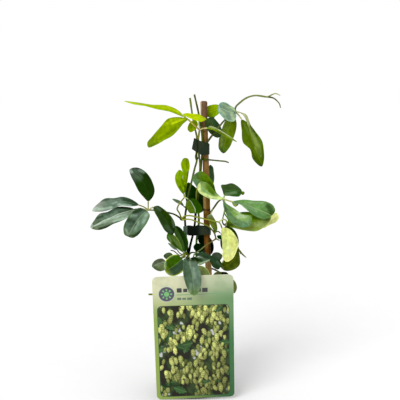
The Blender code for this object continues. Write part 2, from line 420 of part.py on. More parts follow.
def combine(obj, other, operation):
    step = obj.modifiers.new(f"{operation.lower()} {other.name}", "BOOLEAN")
    step.operation = operation
    step.solver = "EXACT"
    step.object = hide(other)


def placed(columns, rows, depths):
    """The points in space that the eye sees at these grid places, at these depths in metres."""
    columns, rows, depths = np.broadcast_arrays(columns, rows, depths)
    sine, cosine = math.sin(VIEW_ELEVATION), math.cos(VIEW_ELEVATION)
    across = (columns - GRID_CENTRE[0]) * GRID
    up = (GRID_CENTRE[1] - rows) * GRID
    eye = VIEW_TARGET + VIEW_DISTANCE * np.array([0, -cosine, sine])
    ray = np.stack([across, VIEW_DISTANCE * cosine + up * sine, up * cosine - VIEW_DISTANCE * sine], axis=-1)
    return eye + ray * ((depths - eye[1]) / ray[..., 1])[..., None]


def along(points, places):
    """A smooth curve through the points, read at places from 0 to 1 of its length."""
    points = np.asarray(points, float)
    steps = np.linalg.norm(np.diff(points, axis=0), axis=1)
    knots = np.concatenate([[0], np.cumsum(steps)]) / steps.sum()
    slopes = np.gradient(points, knots, axis=0) if len(points) > 2 else np.repeat(np.diff(points, axis=0), 2, axis=0)
    return hermite(points, knots, slopes, places)


def hermite(points, knots, slopes, places):
    span = np.clip(np.searchsorted(knots, places, side="right") - 1, 0, len(knots) - 2)
    width = knots[span + 1] - knots[span]
    t = ((places - knots[span]) / width)[:, None]
    width = width[:, None]
    return (
        (2 * t**3 - 3 * t**2 + 1) * points[span]
        + (t**3 - 2 * t**2 + t) * width * slopes[span]
        + (3 * t**2 - 2 * t**3) * points[span + 1]
        + (t**3 - t**2) * width * slopes[span + 1]
    )


def leaf_side(base, side, tip, other, places):
    """One edge of a leaflet, from its stalk end to its tip. The other edge's ends steer its own, so
    that the outline is round where the edges meet."""
    points = np.array([other[0], base, *side, tip, other[-1]], float)
    steps = np.linalg.norm(np.diff(points, axis=0), axis=1)
    knots = np.concatenate([[0], np.cumsum(steps)])
    slopes = np.gradient(points, knots, axis=0)
    knots = (knots - knots[1]) / (knots[-2] - knots[1])
    scale = steps[1:-1].sum()
    return hermite(points[1:-1], knots[1:-1], slopes[1:-1] * scale, places)


def leaf_surface(row, along_places, across_places):
    """Points of a leaflet's middle surface: between its two edges, pushed out to their depth."""
    base, side, tip, other, base_depth, tip_depth, bow, lean, cup, rib = row
    t = along_places[:, None]
    s = across_places[None, :]
    shifted = (s + rib * (1 - s**2) / 2)[..., None]
    one = leaf_side(base, side, tip, other, along_places)[:, None, :]
    two = leaf_side(base, other, tip, side, along_places)[:, None, :]
    seen = one * (1 + shifted) / 2 + two * (1 - shifted) / 2
    width = np.sin(math.pi * t) ** 0.7
    depth = base_depth + (tip_depth - base_depth) * t + bow * 4 * t * (1 - t)
    depth = depth + (lean * s + cup * (1 - np.abs(s) ** 1.5)) * width
    return placed(seen[..., 0], seen[..., 1], depth * MM)


def leaf_solid(name, row):
    """Two skins, one each side of the leaflet's middle surface, that meet at its edge."""
    rows = SMALL_LEAF_ROWS if len(row[1]) + len(row[3]) <= SMALL_LEAF_POINTS else LEAF_ROWS
    steps = np.linspace(0, 1, rows + 1)
    places = 0.6 * steps + 0.4 * (1 - np.cos(math.pi * steps)) / 2
    across = np.linspace(-1, 1, LEAF_COLUMNS + 1)
    middle = leaf_surface(row, places, across)
    down = np.gradient(middle, axis=0)
    over = np.gradient(middle, axis=1)
    normal = np.cross(down, over)
    normal = normal / np.maximum(np.linalg.norm(normal, axis=-1, keepdims=True), 1e-12)
    half = LEAF_THICKNESS / 2 * np.sqrt(1 - across**2)[None, :, None]
    columns = LEAF_COLUMNS + 1
    points = [middle[0, 0], middle[-1, 0]]
    number = {}
    for i in range(1, rows):
        for j in range(columns):
            edge = j in (0, columns - 1)
            for skin in (1, -1):
                if edge and skin < 0:
                    number[i, j, skin] = number[i, j, 1]
                    continue
                number[i, j, skin] = len(points)
                points.append(middle[i, j] + skin * half[0, j] * normal[i, j])
    faces = []
    for skin in (1, -1):
        for j in range(columns - 1):
            faces.append((0, number[1, j, skin], number[1, j + 1, skin])[::skin])
            last = rows - 1
            faces.append((1, number[last, j + 1, skin], number[last, j, skin])[::skin])
            for i in range(1, last):
                faces.append((number[i, j, skin], number[i + 1, j, skin],
                              number[i + 1, j + 1, skin], number[i, j + 1, skin])[::skin])
    return finish(name, points, faces, name.split("_")[0], smooth_degrees=40)


def tube_shell(path, radii, sides):
    """Rings carried along a path, with flat ends: the points and faces of a closed tube."""
    tangents = np.gradient(path, axis=0)
    tangents /= np.linalg.norm(tangents, axis=1, keepdims=True)
    side = Vector(tangents[0]).orthogonal().normalized()
    angles = np.arange(sides) * 2 * math.pi / sides
    points = []
    for centre, tangent, radius in zip(path, tangents, radii):
        tangent = Vector(tangent)
        side = (side - tangent * side.dot(tangent)).normalized()
        other = tangent.cross(side)
        for angle in angles:
            points.append(Vector(centre) + float(radius) * (math.cos(angle) * side + math.sin(angle) * other))
    faces = [tuple(range(sides))[::-1], tuple(range(len(points) - sides, len(points)))]
    for ring in range(len(path) - 1):
        for i in range(sides):
            j = (i + 1) % sides
            low = ring * sides
            faces.append((low + i, low + j, low + sides + j, low + sides + i))
    return points, faces


def tube(name, route, radii, colour, sides=STEM_SIDES, leaflet=None, spacing=STEM_RINGS):
    """A round stem along a route of grid places and depths. One that carries a leaflet stops just
    short of it."""
    columns, rows, depths = np.array(route, float).T
    points = placed(columns, rows, depths * MM)
    if leaflet:
        base = LEAFLETS[leaflet][0]
        end = placed(np.array(base[0]), np.array(base[1]), np.array(LEAFLETS[leaflet][4] * MM))
        back = points[-1] - end
        end = end + back / np.linalg.norm(back) * 3 * GAP
        points = np.vstack([points, end])
    length = np.linalg.norm(np.diff(points, axis=0), axis=1).sum()
    rings = max(min(3, len(points)), round(length / spacing) + 1)
    places = np.linspace(0, 1, rings)
    path = along(points, places)
    sizes = (radii[0] + (radii[1] - radii[0]) * places) * MM
    return finish(name, *tube_shell(path, sizes, sides), colour, smooth_degrees=60)


def make_stem(name, tubes):
    """The stem, joined with the stalks that grew out of it."""
    main = None
    for index, (first, last, route, leaflet) in enumerate(tubes):
        if main is None:
            main = tube(name, route, (first, last), "stem")
            continue
        branch = tube(f"{name}_branch_{index}", route, (first, last), "stem", sides=STALK_SIDES, leaflet=leaflet,
                      spacing=STALK_RINGS)
        combine(main, branch, "UNION")
    return main


def cane_path():
    table = np.array(CANE, float)
    return placed(table[:, 0], table[:, 1], table[:, 2] * MM), table[:, 3] * MM


def make_cane():
    """The cane's rings, with a rounded top."""
    path, radii = cane_path()
    top = path[0].copy()
    down = (path[1] - path[0]) / np.linalg.norm(path[1] - path[0])
    path[0] = top + down * CANE_TOP_ROUNDING
    shoulder = [top, top + down * CANE_TOP_ROUNDING * 0.3]
    path = np.vstack([shoulder, path])
    radii = np.concatenate([[radii[0] - CANE_TOP_ROUNDING, radii[0] - CANE_TOP_ROUNDING * 0.35], radii])
    return finish("cane", *tube_shell(path, radii, CANE_SIDES), "cane", smooth_degrees=35)


def make_clip(name, ring):
    """A band round the cane and the stems: its outer wall follows the ring, and its inner wall lies
    one wall's thickness inside."""
    ring = np.array(ring, float)
    tops = placed(ring[:, 0], ring[:, 1], ring[:, 4] * MM)
    bottoms = placed(ring[:, 2], ring[:, 3], ring[:, 4] * MM)
    walls = [tops, inset(tops, CLIP_WALL), bottoms, inset(bottoms, CLIP_WALL)]
    count = len(ring)
    points = np.vstack(walls)
    faces = []
    for i in range(count):
        j = (i + 1) % count
        outer_top, inner_top, outer_bottom, inner_bottom = (
            (i + wall * count, j + wall * count) for wall in range(4))
        faces.append((outer_top[0], outer_bottom[0], outer_bottom[1], outer_top[1]))
        faces.append((inner_top[0], inner_top[1], inner_bottom[1], inner_bottom[0]))
        faces.append((outer_top[0], outer_top[1], inner_top[1], inner_top[0]))
        faces.append((outer_bottom[0], inner_bottom[0], inner_bottom[1], outer_bottom[1]))
    return finish(name, points, faces, "clip")


def inset(ring, distance):
    """The ring's points moved inwards in plan, each by the same distance from both walls that meet there."""
    plan = ring[:, :2]
    edges = np.roll(plan, -1, axis=0) - plan
    edges /= np.linalg.norm(edges, axis=1, keepdims=True)
    turn = np.sign(np.cross(plan, np.roll(plan, -1, axis=0)).sum())
    normals = np.stack([-edges[:, 1], edges[:, 0]], axis=1) * turn
    before = np.roll(normals, 1, axis=0)
    bisector = normals + before
    bisector /= (bisector * normals).sum(axis=1, keepdims=True)
    return np.column_stack([plan + bisector * distance, ring[:, 2]])


def turned(name, profile, sides, colour, smooth_degrees=35):
    """A round piece from a profile of (radius, height) whose first and last points lie on its axis."""
    points = [(0, 0, profile[0][1])]
    for radius, height in profile[1:-1]:
        for i in range(sides):
            angle = 2 * math.pi * i / sides
            points.append((radius * math.cos(angle), radius * math.sin(angle), height))
    points.append((0, 0, profile[-1][1]))
    rings = len(profile) - 2
    last = len(points) - 1
    faces = []
    for i in range(sides):
        j = (i + 1) % sides
        faces.append((0, 1 + j, 1 + i))
        faces.append((last, last - sides + i, last - sides + j))
        for ring in range(rings - 1):
            low = 1 + ring * sides
            faces.append((low + i, low + j, low + sides + j, low + sides + i))
    return finish(name, points, faces, colour, smooth_degrees)


def make_pot():
    """A plain tapered pot: outer wall up to a lip, then down inside to the floor."""
    lip_radius = POT_TOP_RADIUS + POT_LIP
    lip_base = POT_HEIGHT - POT_LIP_DEPTH
    wall_at_lip = POT_FOOT_RADIUS + (POT_TOP_RADIUS - POT_FOOT_RADIUS) * lip_base / POT_HEIGHT
    profile = (
        (0, 0), (POT_FOOT_RADIUS - 1.5 * MM, 0), (POT_FOOT_RADIUS, 1.5 * MM), (wall_at_lip, lip_base),
        (lip_radius, lip_base + 0.6 * MM), (lip_radius, POT_HEIGHT - 0.7 * MM), (lip_radius - 0.9 * MM, POT_HEIGHT),
        (POT_TOP_RADIUS - POT_WALL, POT_HEIGHT - 0.3 * MM),
        (POT_FOOT_RADIUS - POT_WALL, 2 * POT_WALL), (0, 1.5 * POT_WALL),
    )
    pot = turned("pot", profile, POT_SIDES, "pot")
    for i in range(DRAIN_HOLES):
        angle = 2 * math.pi * (i / DRAIN_HOLES + 3.5 / POT_SIDES)  # between two edges of the floor
        bpy.ops.mesh.primitive_cylinder_add(vertices=8, radius=DRAIN_RADIUS, depth=12 * MM)
        hole = bpy.context.object
        hole.name = f"drain_cutter_{i}"
        reach = POT_FOOT_RADIUS * 0.66
        hole.location = (reach * math.cos(angle), reach * math.sin(angle), 0)
        hole.rotation_euler = (0, 0, angle)
        combine(pot, hole, "DIFFERENCE")
    return pot


def make_soil():
    """The potting mix: it fills the pot to just under the lip, with an uneven top, and each stem and
    the cane stand in a hole of their own."""
    floor = 2 * POT_WALL + GAP
    slope = (POT_TOP_RADIUS - POT_FOOT_RADIUS) / POT_HEIGHT
    foot = POT_FOOT_RADIUS - POT_WALL - 1.0 * MM
    top = POT_FOOT_RADIUS + slope * SOIL_TOP - POT_WALL - 1.0 * MM
    profile = ((0, floor), (foot, floor), (top, SOIL_TOP - 1.5 * MM), (top * 0.9, SOIL_TOP), (top * 0.6, SOIL_TOP),
               (top * 0.3, SOIL_TOP), (0, SOIL_TOP))
    soil = turned("soil", profile, SOIL_SIDES, "soil")
    draw = np.random.default_rng(SOIL_SEED)
    for vertex in soil.data.vertices:
        if vertex.co.z > SOIL_TOP - 0.1 * MM:
            vertex.co.z -= draw.uniform(0, SOIL_BUMP)
    path, radii = cane_path()
    cutter = finish("cane_hole", *tube_shell(path, radii + GAP, CANE_SIDES), "soil")
    combine(soil, cutter, "DIFFERENCE")
    for name, tubes in STEMS.items():
        route = list(tubes[0][2])[-4:]
        column, row, depth = route[-1]
        deeper = [*route, (column, row + 3, depth)]
        radius = tubes[0][1] + 2 * GAP / MM
        combine(soil, tube(f"{name}_hole", deeper, (radius, radius), "soil"), "DIFFERENCE")
    return soil


def card_frame():
    """The card's centre, turn, lean and swing: across, out of its back, and up its face."""
    turn = Matrix.Rotation(-CARD_TURN, 4, "Y")
    lean = Matrix.Rotation(CARD_LEAN, 4, "X")
    swing = Matrix.Rotation(CARD_SWING, 4, "Z")
    return Matrix.Translation(CARD_CENTRE) @ swing @ lean @ turn


def make_card():
    """A flat card with round corners, and a tongue that rises from its top edge, turns over and runs
    down behind it into the pot."""
    outline = []
    for corner in range(4):
        right = corner in (0, 3)
        high = corner in (0, 1)
        centre = ((CARD_WIDTH / 2 - CARD_CORNER) * (1 if right else -1),
                  (CARD_HEIGHT / 2 - CARD_CORNER) * (1 if high else -1))
        for step in range(5):
            angle = math.pi / 2 * (corner + step / 4)
            outline.append((centre[0] + CARD_CORNER * math.cos(angle), centre[1] + CARD_CORNER * math.sin(angle)))
    frame = card_frame()
    half = CARD_THICKNESS / 2
    points = [frame @ Vector((x, y, z)) for y in (-half, half) for x, z in outline]
    count = len(outline)
    faces = [tuple(range(count)), tuple(range(count, 2 * count))[::-1]]
    for i in range(count):
        j = (i + 1) % count
        faces.append((i, j, count + j, count + i))
    card = finish("label_card", points, faces, "card")
    combine(card, make_tongue(), "UNION")
    return card


def make_tongue():
    """A strip along its path, as wide as the tongue, swung with the card."""
    path = np.array(TONGUE_PATH) * MM
    tangents = np.gradient(path, axis=0)
    tangents /= np.linalg.norm(tangents, axis=1, keepdims=True)
    normals = np.stack([-tangents[:, 1], tangents[:, 0]], axis=1)
    half = CARD_THICKNESS / 2
    middle = Vector(CARD_CENTRE)
    centre_line = Matrix.Translation(middle) @ Matrix.Rotation(CARD_SWING, 4, "Z") @ Matrix.Translation(-middle)
    points = []
    for centre, normal in zip(path, normals):
        for across, out in ((-1, -1), (1, -1), (1, 1), (-1, 1)):
            y, z = centre + normal * half * out
            x = TONGUE_X + across * TONGUE_WIDTH / 2
            points.append(centre_line @ Vector((x, y, z)))
    last = len(points)
    faces = [(0, 1, 2, 3), (last - 1, last - 2, last - 3, last - 4)]
    for ring in range(len(path) - 1):
        for i in range(4):
            j = (i + 1) % 4
            low = 4 * ring
            faces.append((low + i, low + j, low + 4 + j, low + 4 + i))
    return finish("card_tongue", points, faces, "card")


def main():
    clear_scene()
    make_pot()
    make_soil()
    make_cane()
    make_card()
    for name, ring in CLIPS.items():
        make_clip(name, ring)
    for name, tubes in STEMS.items():
        make_stem(name, tubes)
    for name, row in LEAFLETS.items():
        leaf_solid(name, row)


main()
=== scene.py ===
"""Looks of a young climbing plant with palmate leaves, clipped to a bamboo cane in a round pot.

The leaves, stems and clips are drawn in front view on a square grid, column to the right and row
downwards, and each point of the drawing is pushed out to its own depth in millimetres, less than
zero towards the front. The pot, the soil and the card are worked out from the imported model's boxes
and from the sizes below.
"""

import math
from functools import cache

import bmesh
import bpy
import numpy as np
from mathutils import Matrix, Vector

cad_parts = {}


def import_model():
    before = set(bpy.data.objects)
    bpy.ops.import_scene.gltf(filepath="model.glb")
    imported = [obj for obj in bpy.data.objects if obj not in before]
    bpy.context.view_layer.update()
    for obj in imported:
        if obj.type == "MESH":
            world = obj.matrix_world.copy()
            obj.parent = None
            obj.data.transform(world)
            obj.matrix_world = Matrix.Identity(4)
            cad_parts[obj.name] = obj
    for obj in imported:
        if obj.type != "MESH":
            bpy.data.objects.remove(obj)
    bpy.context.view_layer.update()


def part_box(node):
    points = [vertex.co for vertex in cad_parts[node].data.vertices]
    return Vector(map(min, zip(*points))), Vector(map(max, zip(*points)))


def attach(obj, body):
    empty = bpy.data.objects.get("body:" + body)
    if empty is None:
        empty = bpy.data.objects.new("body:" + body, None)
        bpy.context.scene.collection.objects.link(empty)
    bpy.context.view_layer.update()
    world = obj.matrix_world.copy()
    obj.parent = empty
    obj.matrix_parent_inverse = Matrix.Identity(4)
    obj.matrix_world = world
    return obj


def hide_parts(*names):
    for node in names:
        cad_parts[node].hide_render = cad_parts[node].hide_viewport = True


MM = 0.001

# Front view: the drawing's grid and the eye that it is seen from, which is also the camera
GRID = 1.1 * MM
GRID_CENTRE = (200, 200)  # column and row
FRAME_CELLS = 400
VIEW_DISTANCE = 850 * MM
VIEW_ELEVATION = math.radians(10)
VIEW_TARGET = np.array([6, 0, 218.5]) * MM
SENSOR_WIDTH = 36  # millimetres

# Blades, stems and the swellings where stalks meet
BLADE_THICKNESS = 0.42 * MM
BLADE_ROWS = 36
BLADE_COLUMNS = 24
BLADE_GROOVE = 0.16 * MM  # over the midrib
BLADE_RIDGE = 0.3 * MM  # under it
SIDE_VEINS = 8  # to each side, from the stalk end to the tip
VEIN_SWEEP = 0.2  # of the length, that a side vein runs towards the tip on its way to the edge
STEM_SIDES = 14
STALK_SIDES = 10
THICK_STALK = 0.75  # millimetres of radius, above which a stalk has as many sides as a stem
STEM_STEP = 1.6 * MM  # between a stem's rings
STEM_BARK = 0.18  # millimetres that the bark adds to a stem's drawn radius
STEM_WAVES = ((0.05, 3.1), (0.04, 7.7))  # share of the radius, and millimetres along the stem
STALK_OVERLAP = 0.4 * MM  # that a stalk runs on into its leaflet
KNOT_SIDES = 16
KNOT_RINGS = 9
KNOT_TALLNESS = 1.15

# Clips and cane
CLIP_WALL = 0.8 * MM
CLIP_SECTION = ((0.02, 0.12), (0.05, 0), (0.5, 0), (0.95, 0), (0.98, 0.12), (1, 0.5), (0.98, 0.88), (0.95, 1),
                (0.5, 1), (0.05, 1), (0.02, 0.88), (0, 0.5))  # shares of the band's height and of its wall
CANE_SIDES = 40
CANE_RINGS = 230
CANE_SHOULDER = 2.1 * MM  # from the cane's top down to its full width
CANE_RIM = ((0.2, -1.0), (0.34, -0.35), (0.46, -0.05), (0.6, 0), (0.76, -0.25), (0.88, -0.75),
            (0.96, -1.4))  # share of the top's radius, and millimetres above the top
PITH_DEPTH = 1.4 * MM
NODE_HEIGHTS = (207.9, 105.9)  # millimetres up the cane
CANE_BANDS = ((0.148, 0.162, (116, 70, 8)), (0.185, 0.205, (108, 78, 22)), (0.228, 0.246, (138, 104, 56)),
              (0.295, 0.315, (114, 86, 62)))  # metres up between which each colour takes over
CANE_LIT_X = 7.1 * MM  # the cane's left edge near its top, where a pale highlight is painted

# Pot and soil
POT_SIDES = 96
POT_FOOT = 31.5 * MM
POT_WALL = 1.2 * MM
POT_LIP = 2.2 * MM
POT_LIP_DEPTH = 8 * MM
POT_RING = 0.9 * MM  # from one fine ring of the mould to the next
DRAIN_HOLES = 6
DRAIN_SIDES = 24
DRAIN_RADIUS = 3 * MM
DRAIN_REACH = 0.66  # from the middle, as a share of the foot's radius
DRAIN_START = 3.5 / 36  # of a turn, to the first hole
SOIL_RINGS = 26
SOIL_SIDES = 96
SOIL_TAPER = 7.6 * MM
SOIL_REACH = 38 * MM  # from the middle to where the soil is lowest
CRUMBS = 420
CRUMB_SEED = 11
CRUMB_MARGIN = 2.2 * MM  # free of crumbs, at the soil's edge
PALE_CRUMBS = 17  # one crumb in so many

# Card, in millimetres: size, centre, turn, lean and swing (its right side back), and what is printed
# on its face, measured from the face's centre
CARD_WIDTH = 86
CARD_HEIGHT = 145
CARD_THICKNESS = 0.7
CARD_CORNER = 5
CARD_CORNER_POINTS = 9
CARD_EDGE = ((0.15, -1), (0.04, -0.8), (0, 0), (0.04, 0.8), (0.15, 1))  # drawn in, share of half thickness
CARD_CENTRE = (-0.2, -41.6, 74.4)
CARD_TURN = math.radians(1.5)
CARD_SWING = math.radians(2.2)
CARD_LEAN = math.radians(6.3)
TONGUE_WIDTH = 9
TONGUE_X = -2.4
TONGUE_RINGS = 60
TONGUE_SECTION = ((-1, -0.6), (-0.98, -1), (0.98, -1), (1, -0.6), (1, 0.6), (0.98, 1), (-0.98, 1),
                  (-1, 0.6))  # shares of half its width and of half its thickness
TONGUE_PATH = ((-48.3, 140.5), (-48.9, 146), (-47.6, 149.4), (-44.6, 150.9), (-41.4, 149.6), (-39.2, 144),
               (-37.8, 125), (-37.2, 105), (-37, 87.8))  # depth and height
CARD_FADES = ((-66, -20, (36, 100, 42)), (-10, 40, (94, 134, 82)), (44, 70, (180, 190, 154)))  # of its
# right side: millimetres up between which each colour takes over
BADGE_CENTRE = (-28.1, 52.4)
BADGE_RADIUS = 8.2
SUN_RAYS = 8
TITLE_BLOCKS = ((-14.6, 56.3, 2.6, 2.5), (-8.2, 56.1, 2.2, 2), (-1.4, 56, 3.4, 2.4), (6, 55.9, 2.4, 2),
                (12.6, 55.9, 2.9, 2.4))  # centre, half sizes
RULE_BLOCK = (10.6, 51.2, 28.2, 0.4)
NOTE_BLOCKS = ((-14.8, 46.6, 2.2, 1.4), (-9.6, 46.5, 2, 1.2), (-3.8, 46.4, 2.6, 1.4))
PICTURE_BLOCK = (-0.3, -15.4, 38, 53.8)
PICTURE_EDGE = 0.6
PICTURE_CORNER = 5
PICTURE_COLUMNS = 150
PICTURE_ROWS = 212
PICTURE_INK = 0.04
PICTURE_SEED = 23
PICTURE_LEAVES = 40
PICTURE_BUNCHES = 56
PICTURE_CONES = 350

# Stage
FLOOR_REACH = 6.0
VIEW_END = 20  # metres that the camera sees
WORLD_LIGHT = 0.55
LIGHTS = (
    ("key light", 1.7, 35, (-0.6, -0.9, 0.9)),
    ("fill light", 0.35, 90, (1, -0.8, 0.4)),
    ("top light", 0.7, 60, (0.2, 0.6, 1.2)),
)  # strength, spread in degrees, where it comes from

# Each group of leaflets, or one leaflet: the colour that its strokes of sheen turn to, 0 to 255
SHEEN = {
    "left": (172, 198, 176), "lower": (172, 198, 172), "right": (190, 212, 170), "back": (172, 198, 172),
    "crown": (206, 226, 24), "tendril": (206, 220, 160), "inner": (204, 226, 60), "drooping": (236, 242, 176),
    "right_scrap_3": (218, 234, 150), "crown_leaflet_5": (206, 220, 160),
}
DEEP_GREEN = (20, 44, 3)  # what the strokes of shade turn to
# Each group of leaflets: roughness, and how much it mirrors
GLOSS = {
    "left": (0.36, 0.02), "lower": (0.36, 0.03), "right": (0.38, 0.03), "tendril": (0.4, 0.02),
    "crown": (0.5, 0.0), "drooping": (0.45, 0.0), "inner": (0.45, 0.0), "back": (0.4, 0.0),
}
RIM_ON_OTHER_SIDE = ("right_scrap_3", "lower_leaflet_7", "left_leaflet_3", "right_leaflet_5")

# Cane: column, row, depth and radius in millimetres, from its top down
CANE = (
    (203.75, 101, 0, 3.9), (203.95, 117, 0, 3.75), (204.5, 126, 0, 3.45), (205.15, 140, 0, 3.25),
    (205.75, 156, 0, 3.25), (205.95, 168, 0, 3.5), (206.5, 198, 0, 3.75), (206.6, 207, 0, 3.85),
    (206.7, 209.5, 0, 4.05), (206.75, 212, 0, 3.8), (206.8, 225, 0, 3.35), (206.9, 236, 0, 3.4),
    (208.1, 262, 0, 3.45), (208.9, 276, 0, 3.45), (209.6, 296, 0, 3.5), (209.7, 298.5, 0, 3.75),
    (209.8, 301, 0, 3.5), (210.6, 340, 0, 3.4), (211.2, 379.4, 0, 3.4),
)

# Clips: top column and row, bottom column and row, depth in millimetres, round the band's outside
CLIPS = {
    "clip_upper": ((193.7, 137.7, 191.2, 148.9, -1.8), (198.3, 140.2, 196.8, 152.6, -7.4),
        (203.2, 141.9, 200.2, 154.7, -7.6), (208.6, 143.4, 208.4, 154.7, -6.6),
        (209.6, 143.6, 209.6, 154.6, -1), (209.2, 143.4, 209.4, 154.4, 3.8), (203.2, 142, 203.2, 154, 4.4),
        (198, 140, 197, 152, 1.4)),
    "clip_lower": ((183.1, 226.5, 183.3, 232.8, -1.2), (183.3, 226.4, 183.5, 232.8, -5.6),
        (188.4, 225.3, 188.4, 235.6, -7.4), (195.4, 226.2, 195, 235.7, -7),
        (196.6, 225.1, 196.4, 235.5, -7.8), (203.2, 225.6, 203, 235.2, -7.8),
        (209.2, 226.8, 209.2, 235, -6), (211, 227.4, 211, 235, -0.5), (210.8, 227.4, 210.8, 235, 5),
        (207.4, 227.2, 207.4, 235, 7.6), (203.4, 227, 203.4, 235, 6.6), (197, 227, 197, 235, 3),
        (188, 227, 188, 234, 1.2)),
}

